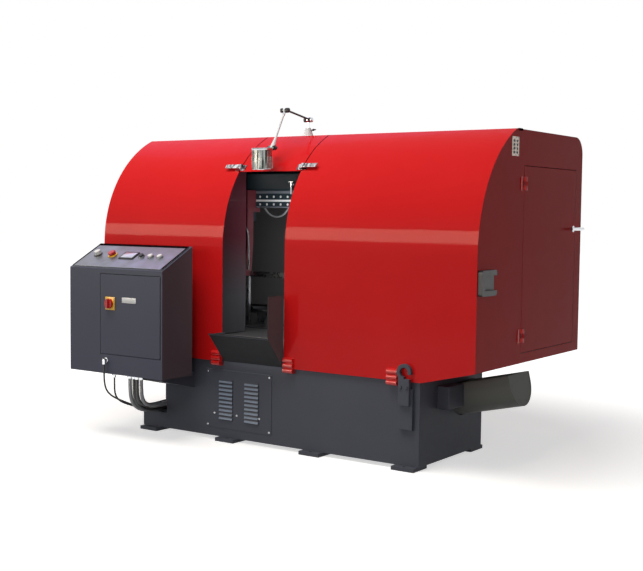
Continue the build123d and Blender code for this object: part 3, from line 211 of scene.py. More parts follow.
def bareMetal(name, look):
    # Cut, ground or rolled metal: lines along the way it was worked, duller where it is handled.
    # Real lines are a tenth of a millimetre wide or less; these are drawn wider, so that they show.
    finish, tree = newFinish(name)
    spot = addNode(tree, "ShaderNodeTexCoord").outputs["Object"]
    along = addNode(tree, "ShaderNodeMapping", {"vector_type": "POINT"},
                    {"Vector": spot, "Scale": look["stretch"]})
    lines = addNode(tree, "ShaderNodeTexNoise", None,
                    {"Vector": along.outputs[0], "Scale": perMetre(look["lineMm"]), "Detail": 3.0})
    haze = addNode(tree, "ShaderNodeTexNoise", None,
                   {"Vector": spot, "Scale": perMetre(look["hazeMm"]), "Detail": 5.0})
    streak = addNode(tree, "ShaderNodeMapRange", None,
                     {"Value": lines.outputs[0], "From Min": 0.5 - look["soft"],
                      "From Max": 0.5 + look["soft"]})
    tone = addNode(tree, "ShaderNodeMix", {"data_type": "RGBA"},
                   {0: streak.outputs[0], 6: hexColour(look["low"]), 7: hexColour(look["high"])})
    rough = addNode(tree, "ShaderNodeMapRange", None,
                    {"Value": haze.outputs[0], "From Min": 0.3, "From Max": 0.7,
                     "To Min": look["rough"] * 0.75, "To Max": look["rough"] * 1.3})
    bump = addNode(tree, "ShaderNodeBump", None,
                   {"Strength": look["bump"], "Distance": 0.0002, "Height": lines.outputs[0]})
    endFinish(tree, {"Base Color": tone.outputs[2], "Metallic": 1.0, "Roughness": rough.outputs[0],
                     "Normal": bump.outputs[0], "Anisotropic": look["anisotropic"]})
    return finish


def castIron(name, look):
    # Planed grey iron: a clouded grey with dark graphite specks and a slightly uneven face.
    # The specks are drawn many times as coarse as real ones, so that they show.
    finish, tree = newFinish(name)
    spot = addNode(tree, "ShaderNodeTexCoord").outputs["Object"]
    pores = addNode(tree, "ShaderNodeTexVoronoi", None,
                    {"Vector": spot, "Scale": perMetre(look["poreMm"]), "Randomness": 1.0})
    cloud, tone = mottled(tree, spot, look["cloudMm"], 6.0, look)
    speck = addNode(tree, "ShaderNodeMapRange", None,
                    {"Value": pores.outputs["Distance"], "From Min": 0.0, "From Max": 0.25,
                     "To Min": 0.55, "To Max": 1.0})
    shade = addNode(tree, "ShaderNodeMix", {"data_type": "RGBA", "blend_type": "MULTIPLY"},
                    {0: 1.0, 6: tone, 7: speck.outputs[0]})
    bump = addNode(tree, "ShaderNodeBump", None,
                   {"Strength": look["bump"], "Distance": 0.0004, "Height": cloud})
    endFinish(tree, {"Base Color": shade.outputs[2], "Metallic": look["metallic"],
                     "Roughness": look["rough"], "Normal": bump.outputs[0]})
    return finish


def moulded(name, look):
    # Moulded plastic or rubber: even colour, a spark-eroded grain and a soft sheen.
    # The grain is drawn about ten times as coarse as a real one, so that it shows.
    finish, tree = newFinish(name)
    spot = addNode(tree, "ShaderNodeTexCoord").outputs["Object"]
    grain = addNode(tree, "ShaderNodeTexNoise", None,
                    {"Vector": spot, "Scale": perMetre(look["grainMm"]), "Detail": 3.0})
    cloud, tone = mottled(tree, spot, look["cloudMm"], 4.0, look)
    rough = addNode(tree, "ShaderNodeMapRange", None,
                    {"Value": cloud, "From Min": 0.3, "From Max": 0.7,
                     "To Min": look["rough"] - 0.05, "To Max": look["rough"] + 0.05})
    bump = addNode(tree, "ShaderNodeBump", None,
                   {"Strength": look["bump"], "Distance": 0.0002, "Height": grain.outputs[0]})
    endFinish(tree, {"Base Color": tone, "Roughness": rough.outputs[0], "Normal": bump.outputs[0],
                     "IOR": look["ior"]})
    return finish


def paleGlass(name, look):
    # Glass over a display or a bulb, drawn as an opaque pale skin: smooth and slightly wavy
    finish, tree = newFinish(name)
    spot = addNode(tree, "ShaderNodeTexCoord").outputs["Object"]
    wave, tone = mottled(tree, spot, look["waveMm"], 1.0, look)
    bump = addNode(tree, "ShaderNodeBump", None, {"Strength": 0.1, "Distance": 0.0003, "Height": wave})
    endFinish(tree, {"Base Color": tone, "Roughness": look["rough"], "IOR": 1.5, "Normal": bump.outputs[0],
                     "Coat Weight": look["coat"]})
    return finish


# Looks of the materials: the plain ones fill in what a look leaves out, and greyTexture is the base's paint.
# Milky zinc and the black rubber, which also paints the hood's seam shade, stand with the paints, because
# their skins are as even.
plainPaint = {"specular": 0.5, "coat": 0.0, "coatRough": 0.3}
greyTexture = {"low": "4c4f59", "high": "555861", "driftMm": 300, "scuffMm": 40, "rough": 0.50, "peelMm": 9,
               "bump": 0.16, "specular": 0.15}
paints = {
    # Glossy red that shows one clear band of light; a grey coat inside, with painted shade on the window's
    # sides
    "hood_red": ("redEnamelOnSheet", {
        "low": "d0181b", "high": "dd1f20", "driftMm": 420, "scuffMm": 60, "rough": 0.45, "peelMm": 14,
        "bump": 0.05, "specular": 0.02, "coat": 0.13, "coatRough": 0.06, "inside": "7a7879",
        "insideLow": "48484c", "insideHigh": "48222a", "shadeFrom": 0.80, "shadeTo": 1.15,
        "middle": (0.0, 0.28, 1.08)}),
    # Thick red over a rough casting, with small glints
    "clamp_red": ("redEnamelOnCasting", {
        "low": "d01c1f", "high": "e02826", "driftMm": 40, "scuffMm": 15, "rough": 0.34, "peelMm": 6,
        "bump": 0.2, "specular": 0.4, "coat": 0.4, "coatRough": 0.12}),
    # The hood's red painted as it looks in shade
    "arm_red": ("shadedRedEnamelOnCasting", {
        "low": "56232b", "high": "602a32", "driftMm": 60, "scuffMm": 20, "rough": 0.38, "peelMm": 8,
        "bump": 0.2, "specular": 0.4, "coat": 0.2, "coatRough": 0.2}),
    # Dark, nearly matt grey; painted highlights on the louvres' blades, and a paler copy on the trough
    "base_grey": ("darkGreyTextureEnamel", greyTexture),
    "louvre_grey": ("bladeLitGreyTextureEnamel", {
        **greyTexture, "bladeLight": "8794a6", "bladeLightFirst": 0.120, "bladeLightPitch": 0.023, "bladeLightTilt": 0.2,
        "plainFrom": 0.65, "highlightTo": 0.45}),
    # A paler copy of the base's paint: painted light, so that the trough shows up in the shade under the hood
    "trough_grey": ("litGreyTextureEnamel", {**greyTexture, "low": "737570", "high": "7b7d78"}),
    # Even blue grey with a weak sheen; its sideways faces are painted paler, as painted light
    "cabinet_grey": ("blueGreyEnamel", {
        "low": "464957", "high": "4d505e", "sides": "5c5157", "driftMm": 260, "scuffMm": 40, "rough": 0.46,
        "peelMm": 8, "bump": 0.12, "specular": 0.15}),
    # Black, with painted light that greys the tray's sideways faces
    "tray_black": ("blackEnamelOnSheet", {
        "low": "26272a", "high": "2d2e31", "sides": "626a6d", "driftMm": 120, "scuffMm": 25, "rough": 0.42,
        "peelMm": 8, "bump": 0.15, "specular": 0.10}),
    # Dark oily grey over a cast skin
    "frame_iron": ("greyPaintedCasting", {
        "low": "263239", "high": "2f3b42", "driftMm": 90, "scuffMm": 25, "rough": 0.45, "peelMm": 10,
        "bump": 0.3, "specular": 0.06}),
    # Middle grey, satin
    "motor_grey": ("greyPaintedAlloy", {
        "low": "6f747c", "high": "7d828a", "driftMm": 80, "scuffMm": 20, "rough": 0.45, "peelMm": 6,
        "bump": 0.2}),
    # Nearly white and glossy, on the lamp
    "pale_enamel": ("paleGreyEnamel", {
        "low": "dde3e4", "high": "ebf0f0", "driftMm": 60, "scuffMm": 15, "rough": 0.32, "peelMm": 5,
        "bump": 0.1, "coat": 0.2, "coatRough": 0.15}),
    # Even white, on small plates
    "white_plate": ("whiteEnamelPlate", {
        "low": "d9dad8", "high": "e8e9e7", "driftMm": 30, "scuffMm": 8, "rough": 0.35, "peelMm": 4,
        "bump": 0.05, "coat": 0.1, "coatRough": 0.2}),
    # Milky plating: at this distance bright specks without a mirror image
    "zinc_white": ("milkyZincPlate", {
        "low": "eceeee", "high": "f8f9f9", "driftMm": 20, "scuffMm": 8, "rough": 0.40, "peelMm": 4,
        "bump": 0.05, "specular": 0.6, "coat": 0.1, "coatRough": 0.2}),
    # Matt black rubber that reads as a dark line; it also paints the shade in the hood's seams
    "black_rubber_and_seam_shade": ("mattRubberAndSeamShade", {
        "low": "14090c", "high": "1c0f12", "driftMm": 60, "scuffMm": 10, "rough": 0.9, "peelMm": 5,
        "bump": 0.1, "specular": 0.0, "coatRough": 0.5}),
}
plainMetal = {"stretch": (1.0, 1.0, 1.0), "bump": 0.1, "anisotropic": 0.0, "soft": 0.5}
metals = {
    # Blotched by weather, half dull
    "aged_plate": ("weatheredAluminiumPlate", {
        "low": "6d6259", "high": "cfc4ba", "lineMm": 10, "hazeMm": 8, "rough": 0.45, "soft": 0.25}),
    # Grinding lines along X that draw the light out sideways
    "bare_steel": ("groundSteel", {
        "low": "8f9194", "high": "b4b6b9", "lineMm": 3, "hazeMm": 40, "stretch": (0.05, 1.0, 1.0),
        "rough": 0.32, "bump": 0.15, "anisotropic": 0.4}),
    # Finer rolling lines, a little brighter along them
    "band_steel": ("rolledBandSteel", {
        "low": "85888c", "high": "a9acb0", "lineMm": 2, "hazeMm": 25, "stretch": (0.03, 1.0, 1.0),
        "rough": 0.28, "anisotropic": 0.5}),
    # A clear mirror
    "chrome_plate": ("chromePlate", {
        "low": "c9ccd0", "high": "d6d8db", "lineMm": 12, "hazeMm": 30, "stretch": (1.0, 1.0, 0.2),
        "rough": 0.10, "bump": 0.02}),
    # Soft grey sheen with faint brush lines
    "console_alloy": ("satinAnodisedAluminium", {
        "low": "808388", "high": "909297", "lineMm": 2, "hazeMm": 60, "stretch": (0.04, 1.0, 1.0),
        "rough": 0.38, "anisotropic": 0.3}),
    # Upright light and dark stripes: painted reflections and shade, as between ribs
    "can_alloy": ("stripedReflectionAluminium", {
        "low": "2c3330", "high": "a6aaa7", "lineMm": 9, "hazeMm": 20, "stretch": (1.0, 1.0, 0.05),
        "rough": 0.28, "soft": 0.10}),
    # A mirror with dark reddish patches: painted reflections of the red hood
    "latch_chrome": ("redReflectionChromePlate", {
        "low": "5d4a50", "high": "e9eaec", "lineMm": 16, "hazeMm": 20, "stretch": (1.0, 0.4, 0.4),
        "rough": 0.14, "bump": 0.02, "soft": 0.12}),
    # Dark oxide skin with little shine
    "scale_steel": ("millScaleSteel", {
        "low": "232527", "high": "34373a", "lineMm": 8, "hazeMm": 30, "rough": 0.50, "soft": 0.3}),
    # Brownish wire
    "brush_wire": ("crimpedSteelWire", {
        "low": "6d675a", "high": "948c7c", "lineMm": 1, "hazeMm": 8, "rough": 0.35}),
}
irons = {
    # Clouded grey with a low metal shine
    "table_iron": ("planedGreyIron", {
        "low": "6d6e70", "high": "85868a", "poreMm": 5, "cloudMm": 60, "metallic": 0.8, "rough": 0.42,
        "bump": 0.1}),
}
plainPlastic = {"grainMm": 1.5, "cloudMm": 20, "bump": 0.05, "ior": 1.54}
plastics = {
    # Grained black that only greys where it faces the light
    "black_plastic": ("blackGlassFilledNylon", {
        "low": "141416", "high": "1c1c1f", "grainMm": 1.2, "cloudMm": 30, "rough": 0.45, "bump": 0.2,
        "ior": 1.53}),
    # Smooth, bright, with a soft highlight
    "red_plastic": ("redAbs", {"low": "b3171b", "high": "c21f20", "rough": 0.28}),
    "yellow_plastic": ("yellowAbs", {"low": "e0a911", "high": "ecb81c", "rough": 0.32}),
    "white_plastic": ("whiteAbs", {"low": "d8d9d6", "high": "e6e7e4", "cloudMm": 25, "rough": 0.30}),
    # Dull black skin
    "cable_rubber": ("blackCableRubber", {
        "low": "0e0e10", "high": "17171a", "grainMm": 1.0, "cloudMm": 40, "rough": 0.50, "bump": 0.15,
        "ior": 1.52}),
    # Smooth skin whose ribs take bright lines
    "conduit_grey": ("silverGreyPolyamide", {
        "low": "8e9196", "high": "a9acb1", "grainMm": 1.0, "cloudMm": 25, "rough": 0.34, "bump": 0.1,
        "ior": 1.53}),
    "conduit_dark": ("blackPolyamide", {
        "low": "222326", "high": "2d2e32", "grainMm": 1.0, "cloudMm": 25, "rough": 0.40, "bump": 0.1,
        "ior": 1.53}),
    # Middle grey, soft
    "hose_grey": ("greyHoseRubber", {
        "low": "77797c", "high": "8b8d90", "grainMm": 1.0, "rough": 0.42, "bump": 0.1, "ior": 1.52}),
}
glasses = {
    # Pale blue grey with a clear shine
    "display_glass": ("displayGlass", {
        "low": "b9bdd6", "high": "c9cce2", "waveMm": 40, "rough": 0.08, "coat": 0.5}),
    # Warm white, frosted
    "lamp_glass": ("frostedBulbGlass", {
        "low": "e6e4da", "high": "f3f1e8", "waveMm": 15, "rough": 0.25, "coat": 0.2}),
}

finishes = {}
for makeFinish, plain, looks in ((enamel, plainPaint, paints), (bareMetal, plainMetal, metals),
                                 (castIron, {}, irons), (moulded, plainPlastic, plastics),
                                 (paleGlass, {}, glasses)):
    for finishName, (materialName, ownLook) in looks.items():
        finishes[finishName] = makeFinish(materialName, {**plain, **ownLook})
print("materials made:", len(finishes))


# CAD nodes: some take another finish than their slot's, and sheet and cast edges get a small radius
nodeFinish = {"left_guide_arm": "arm_red", "right_guide_arm": "arm_red", "lamp_base": "pale_enamel",
              "lamp_upper_arm": "pale_enamel", "lamp_post": "chrome_plate", "columns": "bare_steel",
              "band_cover": "frame_iron", "guide_rail": "frame_iron", "lamp_head": "can_alloy",
              "left_latch_lever": "latch_chrome", "right_latch_lever": "latch_chrome",
              "latch_plates": "latch_chrome", "left_door_handle": "chrome_plate",
              "right_door_handle": "chrome_plate", "auger": "scale_steel",
              "service_panel": "louvre_grey", "chip_trough": "trough_grey"}
edgeRadius = {"hood_red": 0.0015, "clamp_red": 0.0015, "base_grey": 0.002, "cabinet_grey": 0.002,
              "tray_black": 0.001, "frame_iron": 0.003, "table_iron": 0.0015, "motor_grey": 0.001,
              "bare_steel": 0.001, "chrome_plate": 0.0004, "console_alloy": 0.0005}
edgeLook = {"join": 0.00001, "flatAngle": 0.5, "sharpAngle": 32, "segments": 2, "evenWeight": 100,
            "sheared": ("left_guard", "right_guard", "centre_panel", "auger")}  # cut edges that stay sharp


def dressNode(name, node, look):
    slot = slotOf[name]
    node.data.materials.clear()
    node.data.materials.append(finishes[nodeFinish.get(name, slot)])
    if slot in edgeRadius and name not in look["sheared"]:
        weld = node.modifiers.new("joinFaces", "WELD")
        weld.merge_threshold = look["join"]
        flat = node.modifiers.new("mergeFlat", "DECIMATE")
        flat.decimate_type = "DISSOLVE"
        flat.angle_limit = math.radians(look["flatAngle"])
        edge = node.modifiers.new("easeEdges", "BEVEL")
        edge.width = edgeRadius[slot]
        edge.segments = look["segments"]
        edge.limit_method = "ANGLE"
        edge.angle_limit = math.radians(look["sharpAngle"])
        soft = node.modifiers.new("evenShade", "WEIGHTED_NORMAL")
        soft.weight = look["evenWeight"]


for nodeName, node in frame["nodes"].items():
    dressNode(nodeName, node, edgeLook)
print("nodes dressed")


# Mesh helpers: each adds one solid to an open bmesh
def skin(mesh, rings, ends=True):
    # Faces between neighbouring rings of points, and over the first and the last
    for one, two in zip(rings, rings[1:]):
        for a in range(len(one)):
            b = (a + 1) % len(one)
            mesh.faces.new((one[a], one[b], two[b], two[a]))
    if ends:
        mesh.faces.new(list(reversed(rings[0])))
        mesh.faces.new(rings[-1])


def slab(mesh, low, high, edge=0.0, place=None):
    low, high = Vector(low), Vector(high)
    middle = Matrix.Translation((low + high) / 2) @ Matrix.Diagonal((*(high - low), 1.0))
    solid = set(bmesh.ops.create_cube(mesh, size=1.0, matrix=middle)["verts"])
    if edge > 0:
        edges = list({e for v in solid for e in v.link_edges})
        bevelled = bmesh.ops.bevel(mesh, geom=edges, offset=edge, segments=2, affect="EDGES", profile=0.5)
        solid = {v for f in bevelled["faces"] for v in f.verts} | {v for v in solid if v.is_valid}
    if place is not None:
        bmesh.ops.transform(mesh, matrix=place, verts=list(solid))


def axisPlace(start, direction):
    turn = Vector(direction).to_track_quat("Z", "Y").to_matrix().to_4x4()
    return Matrix.Translation(start) @ turn


def turned(mesh, place, profile, sides=24, bored=False):
    # Lathe work: profile is (distance along the axis, radius), closed at both ends or round a bore
    turns = [2 * math.pi * step / sides for step in range(sides)]
    rings = [[mesh.verts.new(place @ Vector((radius * math.cos(turn), radius * math.sin(turn), distance)))
              for turn in turns] for distance, radius in profile]
    skin(mesh, rings + rings[:1] if bored else rings, not bored)


def tubeOn(mesh, points, radiusAt, sides):
    # A round tube on close-set points; radiusAt gives the radius for a distance along them
    points = [Vector(p) for p in points]
    rings = []
    side = None
    gone = 0.0
    for index, point in enumerate(points):
        ahead = points[min(index + 1, len(points) - 1)] - points[max(index - 1, 0)]
        ahead.normalize()
        if side is None:
            side = ahead.orthogonal().normalized()
        side = (side - ahead * side.dot(ahead)).normalized()
        other = ahead.cross(side)
        if index:
            gone += (point - points[index - 1]).length
        radius = radiusAt(gone)
        ring = []
        for step in range(sides):
            turn = 2 * math.pi * step / sides
            ring.append(mesh.verts.new(point + radius * (side * math.cos(turn) + other * math.sin(turn))))
        rings.append(ring)
    skin(mesh, rings)


def piece(name, mesh, body, finish, sharpAngle=35):
    bmesh.ops.recalc_face_normals(mesh, faces=mesh.faces[:])
    data = bpy.data.meshes.new(name)
    mesh.to_mesh(data)
    mesh.free()
    for face in data.polygons:
        face.use_smooth = True
    data.set_sharp_from_angle(angle=math.radians(sharpAngle))
    data.materials.append(finishes[finish])
    made = bpy.data.objects.new(name, data)
    bpy.context.scene.collection.objects.link(made)
    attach(made, body)
    return made


def turnedPiece(name, place, profile, sides, body, finish):
    mesh = bmesh.new()
    turned(mesh, place, profile, sides)
    return piece(name, mesh, body, finish)


def eased(radius, height, rise, top, start=0.0):
    return [(start, radius), (height, radius), (height + rise, top)]  # disc or nut with an eased outer edge


def screwProfile(radius, height):
    return [(0.0, radius), (height * 0.6, radius), (height, radius * 0.7)]


# Cords: the routes of the cables, conduits and hose, in metres
cordLook = {"cableDiameter": 0.010, "conduitDiameter": 0.022, "hoseDiameter": 0.012, "roundSteps": 12,
            "roundSides": 4, "ribPitch": 0.0058, "ribDepth": 0.0016, "ribSteps": 64, "ribSides": 16,
            "ribSharp": 80}
cableRoutes = {  # name: (length, points)
    "feedCable": (0.724, [
        (-0.872, -0.727, 0.425), (-0.872, -0.727, 0.378), (-0.880, -0.718, 0.328), (-0.896, -0.690, 0.276),
        (-0.910, -0.638, 0.234), (-0.916, -0.572, 0.202), (-0.914, -0.505, 0.173), (-0.908, -0.438, 0.146),
        (-0.903, -0.370, 0.129), (-0.900, -0.300, 0.1225), (-0.900, -0.230, 0.121), (-0.900, -0.162, 0.121)]),
    "motorCable": (0.637, [
        (-0.838, -0.680, 0.350), (-0.838, -0.680, 0.306), (-0.846, -0.670, 0.260), (-0.858, -0.640, 0.222),
        (-0.868, -0.592, 0.194), (-0.874, -0.534, 0.172), (-0.876, -0.472, 0.151), (-0.876, -0.408, 0.134),
        (-0.877, -0.342, 0.125), (-0.878, -0.280, 0.122), (-0.878, -0.220, 0.121), (-0.878, -0.162, 0.121)]),
}
conduitRoutes = {  # name: (length, finish, points)
    "leftConduit": (0.640, "conduit_grey", [
        (-0.736, -0.660, 0.350), (-0.736, -0.660, 0.296), (-0.746, -0.644, 0.240), (-0.764, -0.602, 0.190),
        (-0.788, -0.532, 0.154), (-0.814, -0.448, 0.134), (-0.836, -0.356, 0.127), (-0.850, -0.258, 0.1255),
        (-0.850, -0.162, 0.1255)]),
    "leftMiddleConduit": (0.634, "conduit_dark", [
        (-0.708, -0.656, 0.350), (-0.708, -0.656, 0.296), (-0.718, -0.640, 0.242), (-0.736, -0.598, 0.193),
        (-0.760, -0.528, 0.157), (-0.785, -0.446, 0.136), (-0.806, -0.354, 0.128), (-0.819, -0.257, 0.1265),
        (-0.819, -0.162, 0.1265)]),
    "rightMiddleConduit": (0.633, "conduit_dark", [
        (-0.680, -0.662, 0.350), (-0.680, -0.662, 0.300), (-0.692, -0.647, 0.250), (-0.714, -0.608, 0.210),
        (-0.744, -0.542, 0.184), (-0.776, -0.458, 0.170), (-0.806, -0.362, 0.163), (-0.834, -0.264, 0.1605),
        (-0.834, -0.162, 0.1605)]),
    "rightConduit": (0.625, "conduit_grey", [
        (-0.652, -0.658, 0.350), (-0.652, -0.658, 0.300), (-0.662, -0.643, 0.251), (-0.682, -0.604, 0.212),
        (-0.710, -0.538, 0.187), (-0.740, -0.454, 0.173), (-0.770, -0.358, 0.166), (-0.800, -0.262, 0.163),
        (-0.800, -0.162, 0.163)]),
}
hoseRoute = (0.432, [  # length, points
    (-0.455, 0.165, 1.415), (-0.455, 0.165, 1.376), (-0.449, 0.166, 1.337), (-0.431, 0.166, 1.300),
    (-0.401, 0.165, 1.272), (-0.362, 0.164, 1.257), (-0.322, 0.163, 1.258), (-0.286, 0.163, 1.275),
    (-0.260, 0.164, 1.305), (-0.247, 0.165, 1.341), (-0.241, 0.165, 1.377), (-0.241, 0.165, 1.415)])


def routeCurve(name, points, steps):
    data = bpy.data.curves.new(name, "CURVE")
    data.dimensions = "3D"
    spline = data.splines.new("NURBS")
    spline.points.add(len(points) - 1)
    for control, point in zip(spline.points, points):
        control.co = (*point, 1.0)
    spline.order_u = 3
    spline.use_endpoint_u = True
    spline.resolution_u = steps
    made = bpy.data.objects.new(name, data)
    bpy.context.scene.collection.objects.link(made)
    return made


def routePath(points, steps):
    # The same curve as close-set points
    line = routeCurve("routeLine", points, steps)
    read = bpy.data.meshes.new_from_object(line)
    path = [v.co.copy() for v in read.vertices]
    bpy.data.meshes.remove(read)
    bpy.data.objects.remove(line)
    return path


def roundCord(name, body, node, finish, diameter, length, points, look):
    cord = routeCurve(name, points, look["roundSteps"])
    cord.data.bevel_depth = diameter / 2
    cord.data.bevel_resolution = look["roundSides"]
    cord.data.use_fill_caps = True
    cord.data.materials.append(finishes[finish])
    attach(cord, body)
    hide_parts(node)


def ribbedConduit(name, finish, points, look):
    path = routePath(points, look["ribSteps"])
    outer = look["conduitDiameter"] / 2

    def ribRadius(gone):
        return outer - look["ribDepth"] * (0.5 - 0.5 * math.cos(2 * math.pi * gone / look["ribPitch"]))

    mesh = bmesh.new()
    tubeOn(mesh, path, ribRadius, look["ribSides"])
    conduit = piece(name, mesh, "base", finish, look["ribSharp"])
    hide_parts("conduits")


for cordName, (length, points) in cableRoutes.items():
    roundCord(cordName, "base", "power_cables", "cable_rubber", cordLook["cableDiameter"], length, points,
              cordLook)
for cordName, (length, finish, points) in conduitRoutes.items():
    ribbedConduit(cordName, finish, points, cordLook)
roundCord("coolantHose", "saw_frame", "coolant_hose", "hose_grey", cordLook["hoseDiameter"], *hoseRoute,
          cordLook)
print("cords laid")


# Cable glands: a hexagon nut on each ring of the CAD glands, and one on the feed cable's elbow
glandLook = {"nutHeight": 0.007, "chamfer": 0.001, "shoulder": 0.93, "cableNut": 0.0135, "conduitNut": 0.0165,
             "elbowNut": 0.0150, "elbowShoulder": 0.92, "elbowUp": 0.022}


def glands(look):
    mesh = bmesh.new()

    def hexNut(place, direction, radius, shoulder):
        turned(mesh, axisPlace(place, direction),
               eased(radius, look["nutHeight"], look["chamfer"], radius * shoulder), 6)

    cabinetFront, cabinetFloor = corner["cabinet_body"][0].y, corner["cabinet_body"][0].z
    wall = corner["cable_glands"][1].y
    ends = [(route[-1], look["cableNut"]) for route in cableRoutes.values()]
    ends += [(route[-1], look["conduitNut"]) for route in conduitRoutes.values()]
    for points, radius in ends:
        start, end = Vector(points[0]), Vector(points[-1])
        if start.z < cabinetFloor:
            hexNut((start.x, start.y, cabinetFloor), (0, 0, -1), radius, look["shoulder"])
        hexNut((end.x, wall, end.z), (0, -1, 0), radius, look["shoulder"])
    feed = Vector(cableRoutes["feedCable"][1][0])
    hexNut((feed.x, cabinetFront, feed.z + look["elbowUp"]), (0, -1, 0), look["elbowNut"],
           look["elbowShoulder"])
    piece("glandNuts", mesh, "base", "chrome_plate")


glands(glandLook)
print("glands made")


# Hood: dark strips painted as the shade in the seams beside the middle panel, and seals behind the end doors'
# gaps
seamLook = {"arcStart": 1.090, "arcRadius": 0.690, "flatRear": 0.095, "width": 0.005, "proud": 0.0002,
            "steps": 28}
doorSealLook = {"wallSheet": 0.0025, "wallGap": 0.0002, "thick": 0.0022, "front": 0.147, "rear": 0.833,
                "low": 0.572, "high": 1.538, "hold": 0.010, "lip": 0.008, "hingeLip": 0.0035}


def hoodSeamShade(look):
    front, top = corner["right_guard"][0].y, corner["right_guard"][1].z
    windowTop = corner["centre_panel"][0].z
    rearFlat = corner["right_guard"][1].y - look["flatRear"]
    first, last = (math.asin((height - look["arcStart"]) / look["arcRadius"]) for height in (windowTop, top))
    across = Vector((look["width"] / 2, 0, 0))
    mesh = bmesh.new()
    for x in (corner["centre_panel"][0].x, corner["centre_panel"][1].x):
        centre = Vector((x, front + look["arcRadius"], look["arcStart"]))
        rows = []
        for step in range(look["steps"] + 1):
            turn = first + (last - first) * step / look["steps"]
            out = Vector((0, -math.cos(turn), math.sin(turn)))
            rows.append((centre + out * look["arcRadius"], out * look["proud"]))
        rows.append((Vector((x, rearFlat, top)), Vector((0, 0, look["proud"]))))
        skin(mesh, [[mesh.verts.new(p) for p in (point - across - lift, point - across + lift,
                                                 point + across + lift, point + across - lift)]
                    for point, lift in rows])
    # Painted shade: dark strips that stand for the shadowed gaps of the seams
    piece("hoodSeamShade", mesh, "base", "black_rubber_and_seam_shade")


def doorSeals(look):
    # Rubber frames glued inside the end walls: each lip reaches behind its door's edge and shuts the gap
    def frameCorners(atHinge, elsewhere):
        front, rear = look["front"] + atHinge, look["rear"] - elsewhere
        low, high = look["low"] + elsewhere, look["high"] - elsewhere
        return [(front, low), (rear, low), (rear, high), (front, high)]

    outside = frameCorners(-look["hold"], -look["hold"])
    inside = frameCorners(look["hingeLip"], look["lip"])
    face = corner["right_guard"][1].x - look["wallSheet"] - look["wallGap"]
    back = face - look["thick"]
    mesh = bmesh.new()
    for end in (-1, 1):
        loops = [[mesh.verts.new((end * x, y, z)) for y, z in corners]
                 for corners, x in ((outside, face), (inside, face), (inside, back), (outside, back))]
        skin(mesh, loops + loops[:1], False)
    piece("doorSeals", mesh, "base", "black_rubber_and_seam_shade")


hoodSeamShade(seamLook)
doorSeals(doorSealLook)


# End wall: a blank riveted plate with two columns of grey fields, and a catch on the roof's edge
plateLook = {"front": -0.006, "rear": 0.075, "low": 1.581, "high": 1.678, "thick": 0.002, "edge": 0.0008,
             "rivetInset": 0.007, "rivet": [(0.0, 0.0032), (0.0008, 0.0028), (0.0014, 0.0014)],
             "columns": ((0.014, 0.036), (0.052, 0.070)), "rows": 4, "margin": 0.020, "firstRow": 0.012,
             "rowFill": 0.6, "fieldSunk": 0.0005, "fieldProud": 0.0003, "fieldEdge": 0.0002}
catchLook = {"front": 0.072, "rear": 0.110, "top": 1.7225, "slabs": (
    # out from the wall, in from the ends, down from the top, edge
    ((0.0, 0.006), 0.0, (0.012, 0.001), 0.0015),
    ((-0.006, 0.005), 0.0, (0.0024, 0.0), 0.0008),
    ((0.005, 0.009), 0.010, (0.011, 0.003), 0.0012))}


def endPlate(look):
    wall = corner["right_guard"][1].x
    face = wall + look["thick"]
    inset = look["rivetInset"]
    mesh = bmesh.new()
    slab(mesh, (wall, look["front"], look["low"]), (face, look["rear"], look["high"]), look["edge"])
    for y in (look["front"] + inset, look["rear"] - inset):
        for z in (look["low"] + inset, look["high"] - inset):
            turned(mesh, axisPlace((face, y, z), (1, 0, 0)), look["rivet"], 10)
    piece("endPlate", mesh, "base", "aged_plate")
    fields = bmesh.new()
    pitch = (look["high"] - look["low"] - look["margin"]) / look["rows"]
    for left, right in look["columns"]:
        for row in range(look["rows"]):
            z = look["low"] + look["firstRow"] + row * pitch
            slab(fields, (face - look["fieldSunk"], look["front"] + left, z),
                 (face + look["fieldProud"], look["front"] + right, z + pitch * look["rowFill"]),
                 look["fieldEdge"])
    piece("endPlateFields", fields, "base", "base_grey")


def topCatch(look):
    wall = corner["right_guard"][1].x
    mesh = bmesh.new()
    for (inner, outer), trim, (low, high), edge in look["slabs"]:
        slab(mesh, (wall + inner, look["front"] + trim, look["top"] - low),
             (wall + outer, look["rear"] - trim, look["top"] - high), edge)
    piece("topCatch", mesh, "base", "black_rubber_and_seam_shade")


endPlate(plateLook)
topCatch(catchLook)
print("hood trimmed")


# Base: screws of the service panel, bolts of the lifting lugs, the tray's hem and a sheet in the trough's end
panelScrewLook = {"inset": 0.014, "radius": 0.0065, "height": 0.004, "panelProud": 0.003, "rowHeight": 0.152,
                  "rowPlaces": (-0.387, -0.226, -0.067)}
lugBoltLook = {"x": 0.867, "apart": 0.017, "radius": 0.009, "height": 0.006, "chamfer": 0.001,
               "shoulder": 0.88, "sunk": 0.001, "frontHeight": 0.424, "rearHeight": 0.315}
trayHemLook = {"radius": 0.0035, "height": 0.615, "sharp": 60}
troughEndLook = {"start": (0.940, 0.120, 0.355), "tilt": 13.0, "outside": 0.335, "radius": 0.1178,
                 "side": 0.0448, "inset": 0.0015, "thick": 0.003, "steps": 40, "screwRing": 0.104,
                 "screwAngles": (200, 250, 290, 340), "screwRadius": 0.005, "screwHeight": 0.0012}


def panelScrews(look):
    low, high = corner["service_panel"]
    face = corner["base_frame"][0].y - look["panelProud"]
    inset = look["inset"]
    spots = [(x, z) for x in (low.x + inset, high.x - inset) for z in (low.z + inset, high.z - inset)]
    spots += [(x, look["rowHeight"]) for x in look["rowPlaces"]]
    mesh = bmesh.new()
    for x, z in spots:
        turned(mesh, axisPlace((x, face, z), (0, -1, 0)), screwProfile(look["radius"], look["height"]), 16)
    piece("panelScrews", mesh, "base", "bare_steel")


